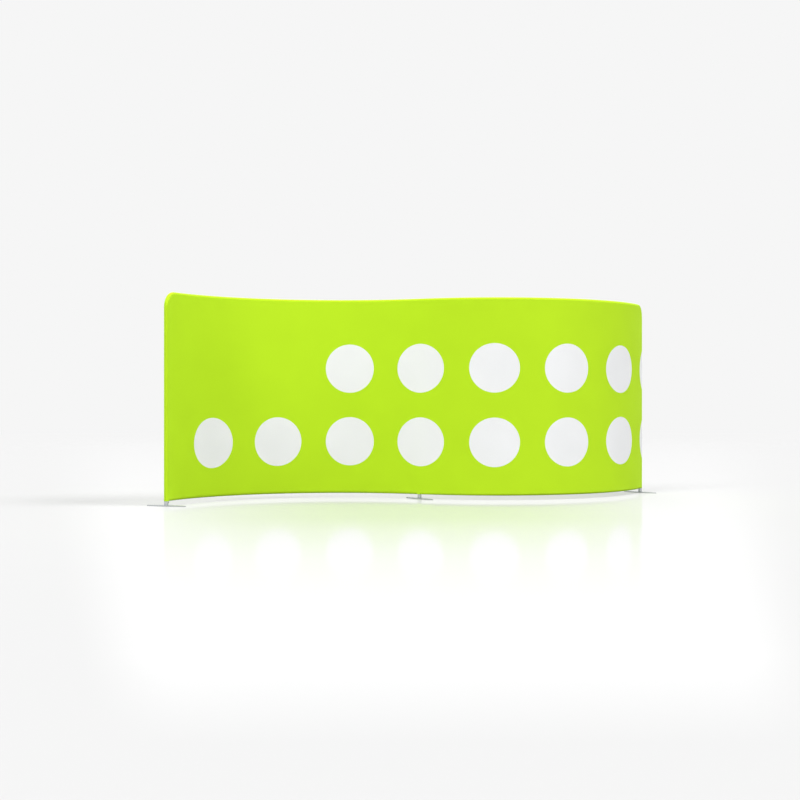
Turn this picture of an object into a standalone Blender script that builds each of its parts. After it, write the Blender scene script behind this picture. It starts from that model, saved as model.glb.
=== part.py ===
"""Serpentine fabric display wall: an S-shaped tube frame inside a zipped stretch cover.

Two equal arcs of opposite bend meet at the middle post. Lengths are in metres, +Z is up,
and the origin lies on the floor under the middle post. The front faces -Y.
"""
import bpy
import bmesh
from math import acos, ceil, cos, pi, radians, sin, sqrt
from mathutils import Matrix, Vector

# The wall as a whole
ARC_CHORD = 2.9775
WALL_HEIGHT = 2.340
FLOOR_CLEARANCE = 0.054
ARC_TURN = radians(98.0)
FACETS_PER_ARC = 18
FIT_GAP = 0.0003
OVERRUN = 0.004
MERGE_DISTANCE = 0.00003
SHARP_ANGLE = radians(35)

# Frame tube and its swaged joints
TUBE_RADIUS = 0.0225
TUBE_WALL = 0.0015
TUBE_SIDES = 12
SWAGE_LENGTH = 0.075
SWAGE_TAPER = 0.003
CORNER_BEND = 0.150
CORNER_STEPS = 6
TEE_HALF = 0.030
POST_JOINT_SHARE = 0.5
CORNER_JOINT_FACETS = 1.5
RAIL_JOINT_FACETS = 8.5
SPREADER_FACETS = 9.5

# Snap buttons, each riveted to its V spring
BUTTON_RADIUS = 0.0040
BUTTON_PROUD = 0.0030
BUTTON_DOME = 0.0012
BUTTON_FLANGE_RADIUS = 0.0055
BUTTON_FLANGE = 0.0010
BUTTON_SIDES = 8
SPRING_WIDTH = 0.0070
SPRING_SHEET = 0.0008
SPRING_LENGTH = 0.042
SPRING_BEND = 0.003

# Saddles between the spreader poles and the rails
SADDLE_HEIGHT = 0.034
SADDLE_LIP = 0.009
SADDLE_SPIGOT = 0.045
SADDLE_PIN_REACH = 0.006
SADDLE_SIDES = 20
SADDLE_CHAMFER = 0.002

# Feet
PLATE_LENGTH = 0.480
PLATE_WIDTH = 0.112
PLATE_THICKNESS = 0.008
PLATE_POINTS = 28
PLATE_FORM = 1.6
PLATE_CHAMFER = 0.0012
PLATE_EDGE_ANGLE = radians(60)
PLATE_HEADING = {"left": radians(-41.0), "centre": radians(-72.0), "right": radians(-66.0)}
PEG_COLLAR = 0.005
PEG_LENGTH = 0.046
PEG_CHAMFER = 0.002
PEG_SIDES = 16

# Cover
CLOTH = 0.0010
ROLL_STEPS = 3
HEM_ROLL = 0.009
HEM_STEPS = 3
POST_SLIT = 0.004

# Zips along the underside
TAPE = 0.0008
TAPE_WIDTH = 0.0105
TAPE_PARTS_PER_FACET = 2
SLIDER_PLATE = 0.0012
SLIDER_LENGTH = 0.014
SLIDER_HALF_WIDTH = 0.0055
SLIDER_TAIL_HALF_WIDTH = 0.0038
SLIDER_NECK = 0.0012
SLIDER_NECK_LENGTH = 0.005
BAIL_WIRE = 0.0008
BAIL_HALF_SPAN = 0.0030
BAIL_STEPS = 6
BAIL_SIDES = 8
PULL_WIDTH = 0.0080
PULL_LENGTH = 0.024
PULL_SHEET = 0.0014
PULL_WINDOW_WIDTH = 0.0044
PULL_CORNER = 0.0012

# Finishes: sRGB colour, roughness, metallic
ALUMINIUM = ("B9BCBE", 0.35, 1.0)
PLATE_STEEL = ("AEB1B3", 0.45, 1.0)
BUTTON_STEEL = ("C9CACB", 0.25, 1.0)
NYLON = ("2B2D2F", 0.55, 0.0)
GREEN_KNIT = ("BEE929", 0.85, 0.0)
GREEN_TAPE = ("9CC32A", 0.80, 0.0)
ZIP_METAL = ("A9ABA6", 0.35, 1.0)

# Sizes that follow from the ones above
FLAT = cos(pi / TUBE_SIDES)
BORE_RADIUS = TUBE_RADIUS - TUBE_WALL / FLAT
SWAGE_RADIUS = BORE_RADIUS - FIT_GAP / FLAT
SWAGE_BORE = SWAGE_RADIUS - TUBE_WALL / FLAT
ARC_RADIUS = ARC_CHORD / 2 / sin(ARC_TURN / 2)
ARC_LENGTH = ARC_RADIUS * ARC_TURN
FACET = ARC_LENGTH / FACETS_PER_ARC
FACET_TURN = ARC_TURN / FACETS_PER_ARC
FACET_SAG = ARC_RADIUS * (1 - cos(FACET_TURN / 2))
TAPE_SAG = ARC_RADIUS * (1 - cos(FACET_TURN / TAPE_PARTS_PER_FACET / 2))

COVER_INSIDE = (TUBE_RADIUS + FIT_GAP) / cos(pi / 4 / ROLL_STEPS)
RAIL_TOP_Z = WALL_HEIGHT - COVER_INSIDE - CLOTH
HEM_TOP_Z = FLOOR_CLEARANCE + CLOTH
TAPE_Z = HEM_TOP_Z + FIT_GAP
SLIDER_TOP_Z = TAPE_Z + TAPE + FIT_GAP + SLIDER_PLATE
RAIL_BOTTOM_Z = SLIDER_TOP_Z + 2 * FIT_GAP + TUBE_RADIUS
POST_FOOT_Z = PLATE_THICKNESS + FIT_GAP + PEG_COLLAR + FIT_GAP
POST_JOINT_Z = RAIL_BOTTOM_Z + (RAIL_TOP_Z - RAIL_BOTTOM_Z) * POST_JOINT_SHARE

CORNER_JOINT = ARC_LENGTH - CORNER_JOINT_FACETS * FACET + SWAGE_LENGTH / 2
RAIL_JOINT = ARC_LENGTH - RAIL_JOINT_FACETS * FACET + SWAGE_LENGTH / 2
SPREADER = ARC_LENGTH - SPREADER_FACETS * FACET
SLIT = TUBE_RADIUS + POST_SLIT

HOLE_RADIUS = (BUTTON_RADIUS + FIT_GAP) / cos(pi / BUTTON_SIDES)
BUTTON_REST = sqrt((SWAGE_BORE * FLAT - FIT_GAP) ** 2 - BUTTON_FLANGE_RADIUS ** 2)
BUTTON_TRAVEL = BUTTON_PROUD + TUBE_WALL + 2 * FIT_GAP
SADDLE_SEAT = (TUBE_RADIUS + FIT_GAP) / cos(pi / SADDLE_SIDES)
PEG_RADIUS = BORE_RADIUS * FLAT - FIT_GAP

SLIDER_REST = ARC_LENGTH - SLIT - PULL_LENGTH
TAPE_EDGE = SLIDER_NECK / 2 + TAPE_SAG + FIT_GAP
HEM_EDGE = SLIDER_HALF_WIDTH + FACET_SAG + 2 * FIT_GAP
SLIDER_FLOOR_Z = TAPE_Z - FIT_GAP - SLIDER_PLATE
PULL_BAR = PULL_SHEET
PULL_PIVOT_Z = SLIDER_FLOOR_Z - PULL_BAR - FIT_GAP
BAIL_REACH = PULL_BAR / 2 + FIT_GAP + BAIL_WIRE
PULL_WINDOW = BAIL_HALF_SPAN + BAIL_WIRE + 2 * FIT_GAP

FRONT = 1
BACK = -1
SIDES = {"left": -1, "right": 1}
UP = Vector((0, 0, 1))


def collection(name):
    made = bpy.data.collections.new(name)
    bpy.context.scene.collection.children.link(made)
    return made


# Plan of the wall. Station 0 is the middle post, and s runs along the wall from it.
def arc_point(s, n, z):
    """A point on the true arcs, n in front of the middle surface."""
    hand = -1 if s < 0 else 1
    heading = abs(s) / ARC_RADIUS - ARC_TURN / 2
    x = hand * ARC_RADIUS * (sin(heading) + sin(ARC_TURN / 2))
    y = hand * ARC_RADIUS * (cos(ARC_TURN / 2) - cos(heading))
    return Vector((x + n * sin(heading), y - n * cos(heading), z))


def facet_of(s):
    """Index of the facet that holds s, counted from the middle post, and its end stations."""
    index = min(int(abs(s) / FACET), FACETS_PER_ARC - 1)
    low = index if s >= 0 else -index - 1
    return low, low + 1


def tangent(s):
    """Direction of the facet at s, towards larger s."""
    low, high = facet_of(s)
    return (arc_point(high * FACET, 0, 0) - arc_point(low * FACET, 0, 0)).normalized()


def station_normal(index):
    """Forward normal at a station, long enough to keep the offset facets parallel."""
    before = tangent((index - 0.5) * FACET) if index > -FACETS_PER_ARC else tangent(-ARC_LENGTH)
    after = tangent((index + 0.5) * FACET) if index < FACETS_PER_ARC else tangent(ARC_LENGTH)
    along = (before + after).normalized()
    return Vector((along.y, -along.x, 0)) / along.dot(after)


def wall_point(s, n, z):
    """A point of the faceted wall; past the end posts it runs straight on."""
    low, high = facet_of(s)
    share = (s / FACET) - low
    a = arc_point(low * FACET, 0, z) + n * station_normal(low)
    b = arc_point(high * FACET, 0, z) + n * station_normal(high)
    return a.lerp(b, share) if 0 <= share <= 1 else a + (b - a) * share


def stations_between(start, end):
    """Values of s from start to end that include every station between them."""
    low, high = sorted((start, end))
    inner = [i * FACET for i in range(ceil(low / FACET), ceil(high / FACET))]
    inner = [s for s in inner if low + FIT_GAP < s < high - FIT_GAP]
    run = [low] + inner + [high]
    return run if start < end else run[::-1]


# Objects
def srgb(code):
    def linear(c):
        return c / 12.92 if c <= 0.04045 else ((c + 0.055) / 1.055) ** 2.4
    return tuple(linear(int(code[i:i + 2], 16) / 255) for i in (0, 2, 4)) + (1,)


def finish(obj, look):
    code, roughness, metallic = look
    material = bpy.data.materials.new(obj.name + "_finish")
    material.use_nodes = True
    shader = material.node_tree.nodes["Principled BSDF"]
    shader.inputs["Base Color"].default_value = srgb(code)
    shader.inputs["Roughness"].default_value = roughness
    shader.inputs["Metallic"].default_value = metallic
    obj.data.materials.clear()
    obj.data.materials.append(material)
    return obj


def add_object(name, data, look=None, matrix=None):
    """Put data in the wall's collection, or with no look in the cutters' one."""
    obj = bpy.data.objects.new(name, data)
    (PARTS if look else CUTTERS).objects.link(obj)
    if matrix:
        obj.matrix_world = matrix
    if look:
        finish(obj, look)
    else:
        obj.hide_render = True
        obj.display_type = "WIRE"
    return obj


def axes(origin, up, along=None):
    """Matrix with its Z on up and its X as near as it can be to along."""
    z = up.normalized()
    x = along or Vector((1, 0, 0))
    x = (x - x.dot(z) * z).normalized()
    matrix = Matrix((x, z.cross(x), z)).transposed().to_4x4()
    matrix.translation = origin
    return matrix


def smooth(mesh):
    mesh.shade_smooth()
    mesh.set_sharp_from_angle(angle=SHARP_ANGLE)


def evaluated_mesh(obj):
    """The object's finished mesh; the object itself is removed."""
    bpy.context.view_layer.update()
    graph = bpy.context.evaluated_depsgraph_get()
    mesh = bpy.data.meshes.new_from_object(obj.evaluated_get(graph))
    bpy.data.objects.remove(obj)
    return mesh


def merged(mesh):
    """The mesh of a filled curve with its caps joined on."""
    form = bmesh.new()
    form.from_mesh(mesh)
    bmesh.ops.remove_doubles(form, verts=form.verts, dist=MERGE_DISTANCE)
    form.to_mesh(mesh)
    form.free()
    return mesh


def combine(target, operand, operation):
    """Boolean with the exact solver."""
    modifier = target.modifiers.new(operand.name, "BOOLEAN")
    modifier.operation = operation
    modifier.solver = "EXACT"
    modifier.object = operand
    return target


def turned(name, profile, look, matrix, ring=False, sides=TUBE_SIDES):
    """Revolve a profile of (radius, height) points, run down its outer side, about local Z."""
    mesh = bpy.data.meshes.new(name)
    count = len(profile)
    edges = [(i, i + 1) for i in range(count - 1)] + ([(count - 1, 0)] if ring else [])
    mesh.from_pydata([(r, 0, z) for r, z in profile], edges, [])
    obj = add_object(name, mesh, look, matrix)
    screw = obj.modifiers.new("turn", "SCREW")
    screw.axis = "Z"
    screw.steps = sides
    screw.render_steps = sides
    screw.use_merge_vertices = True
    screw.merge_threshold = MERGE_DISTANCE
    screw.use_smooth_shade = False
    return obj


def rod(name, start, end, radius, along=None, sides=TUBE_SIDES):
    """A plain cylinder between two points, for cuts and joins."""
    length = (end - start).length
    profile = [(0, length), (radius, length), (radius, 0), (0, 0)]
    return turned(name, profile, None, axes(start, end - start, along), sides=sides)


def tube_profile(low, high, swaged):
    """Cross-section of a straight tube from low to high; a swaged one narrows past high."""
    outer = [(TUBE_RADIUS, high), (TUBE_RADIUS, low)]
    inner = [(BORE_RADIUS, low), (BORE_RADIUS, high)]
    if swaged:
        neck = high + SWAGE_TAPER
        tip = high + SWAGE_LENGTH
        outer = [(SWAGE_RADIUS, tip), (SWAGE_RADIUS, neck)] + outer
        inner = inner + [(SWAGE_BORE, neck), (SWAGE_BORE, tip)]
    return outer + inner


def swept_tube(name, places, swages, look, twist):
    """Sweep a tube along wall places (s, z); swages says which points are the narrow ones."""
    points = [wall_point(s, 0, z) for s, z in places]
    heading = tangent(places[0][0])
    matrix = axes(points[0], UP, heading)
    local = matrix.inverted()
    data = bpy.data.curves.new(name, "CURVE")
    data.dimensions = "3D"
    data.twist_mode = twist
    data.bevel_depth = TUBE_RADIUS
    data.bevel_resolution = TUBE_SIDES // 2 - 2
    data.use_fill_caps = False
    spline = data.splines.new("POLY")
    spline.points.add(len(points) - 1)
    for target, point, narrow in zip(spline.points, points, swages):
        target.co = (*(local @ point), 1)
        target.radius = SWAGE_RADIUS / TUBE_RADIUS if narrow else 1
    mesh = evaluated_mesh(add_object(name + "_path", data))
    mesh.name = name
    obj = add_object(name, mesh, look, matrix)
    wall = obj.modifiers.new("wall", "SOLIDIFY")
    wall.thickness = TUBE_WALL
    wall.offset = -1
    wall.use_even_offset = True
    return obj


def rail(name, hand, start, end, z, swaged):
    """A rail between two distances from the middle post; a swaged one ends in its swage."""
    run = stations_between(start, end)
    narrow = [False] * len(run)
    if swaged:
        run += [end - SWAGE_TAPER, end - SWAGE_LENGTH]
        narrow += [True, True]
    return swept_tube(name, [(hand * u, z) for u in run], narrow, ALUMINIUM, "Z_UP")


# Frame
def weld(trunk, name, start, along, reach):
    """Weld a swaged branch to a tube: coped to the tube's wall, with its own bore."""
    side = UP if abs(along.z) < FLAT else None
    branch = rod(name, start, start + along * reach, SWAGE_RADIUS, side)
    bore = rod(name + "_bore", start + along * TUBE_RADIUS,
               start + along * (reach + OVERRUN), SWAGE_BORE, side)
    combine(branch, bore, "DIFFERENCE")
    cope = rod(name + "_cope", start - UP * 2 * TUBE_RADIUS, start + UP * 2 * TUBE_RADIUS,
               TUBE_RADIUS - TUBE_WALL / 2, along)
    combine(branch, cope, "DIFFERENCE")
    combine(trunk, branch, "UNION")


def lower_upright(name, s, stub_directions):
    """Bottom half of a post, on its foot, with a welded stub for each bottom rail."""
    base = wall_point(s, 0, 0)
    along = tangent(s)
    post = turned(name, tube_profile(POST_FOOT_Z, POST_JOINT_Z, True), ALUMINIUM,
                  axes(base, UP, along), ring=True)
    for number, direction in enumerate(stub_directions):
        weld(post, f"{name}_stub_{number + 1}", base + UP * RAIL_BOTTOM_Z, along * direction,
             TUBE_RADIUS + SWAGE_LENGTH)
    return post


def corner_upright(name, hand):
    """Top half of an end post with the bent corner, swaged into the top rail."""
    low = POST_JOINT_Z + SWAGE_TAPER
    bend_z = RAIL_TOP_Z - CORNER_BEND
    bend = [(ARC_LENGTH - CORNER_BEND * (1 - cos(a)), bend_z + CORNER_BEND * sin(a))
            for a in (pi / 2 * i / CORNER_STEPS for i in range(CORNER_STEPS + 1))]
    run = [(u, RAIL_TOP_Z) for u in stations_between(bend[-1][0], CORNER_JOINT)[1:]]
    tip = [(CORNER_JOINT - d, RAIL_TOP_Z) for d in (SWAGE_TAPER, SWAGE_LENGTH)]
    places = [(ARC_LENGTH, low)] + bend + run + tip
    narrow = [False] * (len(places) - 2) + [True, True]
    return swept_tube(name, [(hand * u, z) for u, z in places], narrow, ALUMINIUM, "MINIMUM")


def tee_upright(name):
    """Top half of the middle post, its neck welded under a tube that is swaged at both ends."""
    along = tangent(0)
    half = [(SWAGE_RADIUS, TEE_HALF + SWAGE_LENGTH), (SWAGE_RADIUS, TEE_HALF + SWAGE_TAPER),
            (TUBE_RADIUS, TEE_HALF)]
    bore = [(SWAGE_BORE, -TEE_HALF - SWAGE_LENGTH), (SWAGE_BORE, TEE_HALF + SWAGE_LENGTH)]
    outer = half + [(r, -z) for r, z in reversed(half)]
    tee = turned(name + "_tee", outer + bore, None, axes(UP * RAIL_TOP_Z, along, UP), ring=True)
    cope = rod(name + "_cope", UP * RAIL_TOP_Z - along * 2 * TUBE_RADIUS,
               UP * RAIL_TOP_Z + along * 2 * TUBE_RADIUS, TUBE_RADIUS - TUBE_WALL / 2, UP)
    neck = RAIL_TOP_Z - SWAGE_LENGTH
    post = turned(name, tube_profile(POST_JOINT_Z + SWAGE_TAPER, neck, True), ALUMINIUM,
                  axes(Vector(), UP, along), ring=True)
    combine(post, cope, "DIFFERENCE")
    combine(post, tee, "UNION")
    return post


def saddle(name, s, rail_z, up):
    """Moulded saddle that seats a spreader pole on a rail, with a pin into the rail."""
    along = tangent(s)
    centre = wall_point(s, 0, rail_z)
    top = SADDLE_HEIGHT
    profile = [(0, top + SADDLE_SPIGOT), (SWAGE_RADIUS - SADDLE_CHAMFER, top + SADDLE_SPIGOT),
               (SWAGE_RADIUS, top + SADDLE_SPIGOT - SADDLE_CHAMFER), (SWAGE_RADIUS, top),
               (TUBE_RADIUS, top), (TUBE_RADIUS, SADDLE_LIP), (0, SADDLE_LIP)]
    body = turned(name, profile, NYLON, axes(centre, up, along))
    seat = rod(name + "_seat", centre - along * 2 * TUBE_RADIUS, centre + along * 2 * TUBE_RADIUS,
               SADDLE_SEAT, UP, SADDLE_SIDES)
    combine(body, seat, "DIFFERENCE")
    pin = rod(name + "_pin", centre + up * (TUBE_RADIUS - SADDLE_PIN_REACH),
              centre + up * (top - SADDLE_CHAMFER), BUTTON_RADIUS, along, BUTTON_SIDES)
    combine(body, pin, "UNION")
    return body


def spreader(side, hand):
    """Two-part pole that keeps the rails apart halfway round an arc, on two saddles."""
    s = hand * SPREADER
    along = tangent(s)
    base = wall_point(s, 0, 0)
    low = RAIL_BOTTOM_Z + SADDLE_HEIGHT + FIT_GAP
    high = RAIL_TOP_Z - SADDLE_HEIGHT - FIT_GAP
    frame = axes(base, UP, along)
    lower = turned(f"{side}_spreader_lower", tube_profile(low, POST_JOINT_Z, True), ALUMINIUM,
                   frame, ring=True)
    upper = turned(f"{side}_spreader_upper",
                   tube_profile(POST_JOINT_Z + SWAGE_TAPER, high, False), ALUMINIUM,
                   frame, ring=True)
    saddle(f"{side}_spreader_bottom_saddle", s, RAIL_BOTTOM_Z, UP)
    saddle(f"{side}_spreader_top_saddle", s, RAIL_TOP_Z, -UP)
    for z, up, carrier in ((RAIL_BOTTOM_Z, UP, "bottom"), (RAIL_TOP_Z, -UP, "top")):
        centre = wall_point(s, 0, z)
        hole = rod(f"{side}_{carrier}_pin_hole", centre + up * SWAGE_BORE / 2,
                   centre + up * (TUBE_RADIUS + OVERRUN), HOLE_RADIUS, along, BUTTON_SIDES)
        combine(FRAME[f"{carrier}_rail_{side}_inner"], hole, "DIFFERENCE")
    return lower, upper


def frame_tubes():
    """All posts and rails, keyed by name."""
    made = {}
    inner_start = RAIL_JOINT - SWAGE_TAPER
    made["centre_upright_lower"] = lower_upright("centre_upright_lower", 0, (1, -1))
    made["centre_upright_upper"] = tee_upright("centre_upright_upper")
    for side, hand in SIDES.items():
        name = f"{side}_upright_lower"
        made[name] = lower_upright(name, hand * ARC_LENGTH, (-hand,))
        name = f"{side}_upright_upper"
        made[name] = corner_upright(name, hand)
        ends = {"top": (CORNER_JOINT - SWAGE_TAPER, TEE_HALF + SWAGE_TAPER, RAIL_TOP_Z),
                "bottom": (ARC_LENGTH - TUBE_RADIUS - FIT_GAP, TUBE_RADIUS + FIT_GAP, RAIL_BOTTOM_Z)}
        for level, (far, near, z) in ends.items():
            name = f"{level}_rail_{side}_outer"
            made[name] = rail(name, hand, far, RAIL_JOINT, z, True)
            name = f"{level}_rail_{side}_inner"
            made[name] = rail(name, hand, inner_start, near, z, False)
    return made


# Snap buttons
def button_places():
    """Name, centre, outward direction, way to the open tube end and the two tubes of each."""
    half = SWAGE_LENGTH / 2
    post_z = POST_JOINT_Z + half
    places = [("centre_post", wall_point(0, 0, post_z), tangent(0), UP,
               ("centre_upright_lower", "centre_upright_upper"))]
    for side, hand in SIDES.items():
        spots = (
            ("top_corner", CORNER_JOINT - half, RAIL_TOP_Z, f"{side}_upright_upper",
             f"top_rail_{side}_outer"),
            ("top_middle", RAIL_JOINT - half, RAIL_TOP_Z, f"top_rail_{side}_outer",
             f"top_rail_{side}_inner"),
            ("top_centre", TEE_HALF + half, RAIL_TOP_Z, "centre_upright_upper",
             f"top_rail_{side}_inner"),
            ("bottom_end", ARC_LENGTH - TUBE_RADIUS - half, RAIL_BOTTOM_Z,
             f"{side}_upright_lower", f"bottom_rail_{side}_outer"),
            ("bottom_middle", RAIL_JOINT - half, RAIL_BOTTOM_Z, f"bottom_rail_{side}_outer",
             f"bottom_rail_{side}_inner"),
            ("bottom_centre", TUBE_RADIUS + half, RAIL_BOTTOM_Z, "centre_upright_lower",
             f"bottom_rail_{side}_inner"),
        )
        for spot, u, z, inner, outer in spots:
            out = UP if z == RAIL_BOTTOM_Z else -UP
            away = hand if spot.endswith("centre") else -hand
            places.append((f"{side}_{spot}", wall_point(hand * u, 0, z), out,
                           away * tangent(hand * u), (inner, outer)))
        for spot, u, tubes in (("post", ARC_LENGTH, "upright"), ("spreader", SPREADER, "spreader")):
            s = hand * u
            places.append((f"{side}_{spot}", wall_point(s, 0, post_z), -hand * tangent(s), UP,
                           (f"{side}_{tubes}_lower", f"{side}_{tubes}_upper")))
    return places


def ribbon(name, outline, width, thickness):
    """A bent strip: an outline in local XZ, given its width along Y and its thickness."""
    data = bpy.data.curves.new(name, "CURVE")
    data.dimensions = "2D"
    data.fill_mode = "NONE"
    data.extrude = width / 2
    spline = data.splines.new("POLY")
    spline.points.add(len(outline) - 1)
    for target, (x, z) in zip(spline.points, outline):
        target.co = (x, z, 0, 1)
    obj = add_object(name, evaluated_mesh(add_object(name + "_line", data)))
    sheet = obj.modifiers.new("sheet", "SOLIDIFY")
    sheet.thickness = thickness
    sheet.offset = 0
    sheet.use_even_offset = True
    mesh = evaluated_mesh(obj)
    mesh.transform(Matrix.Rotation(pi / 2, 4, "X"))
    return mesh


def button_mesh():
    """Domed button riveted to one leg of a V spring, whose other leg faces the far wall."""
    top = TUBE_RADIUS + BUTTON_PROUD
    base = BUTTON_REST - BUTTON_FLANGE
    profile = [(0, top), (BUTTON_RADIUS - BUTTON_DOME, top), (BUTTON_RADIUS, top - BUTTON_DOME),
               (BUTTON_RADIUS, BUTTON_REST), (BUTTON_FLANGE_RADIUS, BUTTON_REST),
               (BUTTON_FLANGE_RADIUS, base), (0, base)]
    button = turned("snap_button", profile, None, None, sides=BUTTON_SIDES)
    far = sqrt((SWAGE_BORE * FLAT) ** 2 - (SPRING_WIDTH / 2) ** 2) - FIT_GAP - SPRING_SHEET / 2
    rest = BUTTON_TRAVEL - far
    end = BUTTON_FLANGE_RADIUS
    tip = SPRING_LENGTH
    outline = [(-end, base), (end, base), (tip - SPRING_BEND, SPRING_BEND),
               (tip, 0), (tip - SPRING_BEND, -SPRING_BEND), (end, rest)]
    spring = add_object("snap_spring", ribbon("spring", outline, SPRING_WIDTH, SPRING_SHEET))
    mesh = evaluated_mesh(combine(button, spring, "UNION"))
    smooth(mesh)
    return mesh


def snap_buttons():
    """Drill every joint and put a button in it."""
    button = button_mesh()
    for name, centre, out, along, tubes in button_places():
        hole = rod(name + "_hole", centre + out * SWAGE_BORE / 2,
                   centre + out * (TUBE_RADIUS + OVERRUN), HOLE_RADIUS, along, BUTTON_SIDES)
        for tube in tubes:
            combine(FRAME[tube], hole, "DIFFERENCE")
        add_object(name + "_button", button.copy(), BUTTON_STEEL, axes(centre, out, along))


# Feet
def plate_outline():
    """Long oval drawn in to soft points at both ends."""
    points = []
    for i in range(PLATE_POINTS):
        a = 2 * pi * i / PLATE_POINTS
        x = abs(cos(a)) ** (2 / PLATE_FORM) * (1 if cos(a) > 0 else -1)
        y = abs(sin(a)) ** (2 / PLATE_FORM) * (1 if sin(a) > 0 else -1)
        points.append((x * PLATE_LENGTH / 2, y * PLATE_WIDTH / 2))
    return points


def flat_outline(name, points, thickness):
    """Mesh of a filled outline in XY, standing on local Z zero."""
    data = bpy.data.curves.new(name, "CURVE")
    data.dimensions = "2D"
    data.fill_mode = "BOTH"
    data.extrude = thickness / 2
    spline = data.splines.new("POLY")
    spline.points.add(len(points) - 1)
    for target, (x, y) in zip(spline.points, points):
        target.co = (x, y, 0, 1)
    spline.use_cyclic_u = True
    mesh = merged(evaluated_mesh(add_object(name + "_outline", data)))
    mesh.transform(Matrix.Translation((0, 0, thickness / 2)))
    return mesh


def foot(side, s):
    """Base plate and the peg that the post turns on, both centred on the post."""
    base = wall_point(s, 0, 0)
    turn = Matrix.Rotation(PLATE_HEADING[side], 4, "Z")
    mesh = flat_outline(side + "_base_plate", plate_outline(), PLATE_THICKNESS)
    plate = add_object(side + "_base_plate", mesh, PLATE_STEEL, Matrix.Translation(base) @ turn)
    chamfer = plate.modifiers.new("chamfer", "BEVEL")
    chamfer.width = PLATE_CHAMFER
    chamfer.segments = 1
    chamfer.limit_method = "ANGLE"
    chamfer.angle_limit = PLATE_EDGE_ANGLE
    top = PEG_COLLAR + PEG_LENGTH
    profile = [(0, top), (PEG_RADIUS - PEG_CHAMFER, top), (PEG_RADIUS, top - PEG_CHAMFER),
               (PEG_RADIUS, PEG_COLLAR), (TUBE_RADIUS, PEG_COLLAR), (TUBE_RADIUS, 0), (0, 0)]
    peg = turned(side + "_post_peg", profile, ALUMINIUM,
                 Matrix.Translation(base + UP * (PLATE_THICKNESS + FIT_GAP)), sides=PEG_SIDES)
    peg.parent = plate
    peg.matrix_parent_inverse = plate.matrix_world.inverted()


# Cover
def in_post_zone(a, b):
    """Whether the strip between two columns lies where a post comes through the hem."""
    middle = abs(a + b) / 2
    return middle < SLIT or middle > ARC_LENGTH - SLIT


def cover_ribs():
    """Columns of the cover from left to right: s and z on the rail, and the outward direction."""
    edge = ARC_LENGTH - CORNER_BEND
    angles = [pi / 2 * i / CORNER_STEPS for i in range(CORNER_STEPS + 1)]
    angles = sorted(angles + [acos(1 - SLIT / CORNER_BEND)])
    corner = [(ARC_LENGTH - CORNER_BEND * (1 - cos(a)),
               RAIL_TOP_Z - CORNER_BEND * (1 - sin(a)), (cos(a), sin(a))) for a in angles]
    top = sorted(stations_between(-edge, edge)[1:-1] + [-SLIT, SLIT])
    left = [(-u, z, (-out[0], out[1])) for u, z, out in corner]
    return left + [(s, RAIL_TOP_Z, (0, 1)) for s in top] + corner[::-1]


def cover(name, side):
    """Half of the cover: a flat panel rolled round the frame to the seam and the zips."""
    form = bmesh.new()

    def vertex(s, n, z):
        return form.verts.new(wall_point(s, side * n, z))

    def face(*corners):
        form.faces.new(corners if side == FRONT else corners[::-1])

    def roll(s, z, out):
        """Points from the seam to the panel's face, round the tube at one place."""
        made = []
        for i in range(ROLL_STEPS + 1):
            a = pi / 2 * i / ROLL_STEPS
            reach = COVER_INSIDE * cos(a)
            n = max(COVER_INSIDE * sin(a), FIT_GAP / 2)
            made.append(vertex(s + out[0] * reach, n, z + out[1] * reach))
        return made

    def join_rolls(first, second):
        for i in range(ROLL_STEPS):
            face(first[i], first[i + 1], second[i + 1], second[i])

    def hem_column(s, waist):
        """Points from the panel's face round the hem to its edge beside the zip."""
        made = [waist]
        for i in range(1, HEM_STEPS + 1):
            a = pi / 2 * i / HEM_STEPS
            made.append(vertex(s, COVER_INSIDE - HEM_ROLL * (1 - cos(a)),
                               HEM_TOP_Z + HEM_ROLL * (1 - sin(a))))
        return made + [vertex(s, HEM_EDGE, HEM_TOP_Z)]

    waist_z = HEM_TOP_Z + HEM_ROLL
    ribs = cover_ribs()
    tops = [roll(*rib) for rib in ribs]
    waists = [vertex(s, COVER_INSIDE, waist_z) for s, _, _ in ribs]
    feet = {}
    hems = {}
    for i, (s, _, _) in enumerate(ribs):
        zones = {in_post_zone(s, ribs[j][0]) for j in (i - 1, i + 1) if 0 <= j < len(ribs)}
        if True in zones:
            feet[i] = vertex(s, COVER_INSIDE, FLOOR_CLEARANCE)
        if False in zones:
            hems[i] = hem_column(s, waists[i])
    for i in range(len(ribs) - 1):
        j = i + 1
        face(tops[i][-1], waists[i], waists[j], tops[j][-1])
        join_rolls(tops[i], tops[j])
        if in_post_zone(ribs[i][0], ribs[j][0]):
            face(waists[i], feet[i], feet[j], waists[j])
        else:
            for k in range(HEM_STEPS + 1):
                face(hems[i][k], hems[i][k + 1], hems[j][k + 1], hems[j][k])
    for hand, end in ((-1, 0), (1, len(ribs) - 1)):
        low = roll(hand * ARC_LENGTH, FLOOR_CLEARANCE, (hand, 0))[:-1] + [feet[end]]
        middle = roll(hand * ARC_LENGTH, waist_z, (hand, 0))[:-1] + [waists[end]]
        for below, above in ((low, middle), (middle, tops[end])):
            join_rolls(*((below, above) if hand < 0 else (above, below)))
    bmesh.ops.delete(form, geom=[v for v in form.verts if not v.link_faces], context="VERTS")
    mesh = bpy.data.meshes.new(name)
    form.to_mesh(mesh)
    form.free()
    obj = add_object(name, mesh, GREEN_KNIT)
    cloth = obj.modifiers.new("cloth", "SOLIDIFY")
    cloth.thickness = CLOTH
    cloth.offset = 1
    cloth.use_even_offset = True
    return obj


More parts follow.
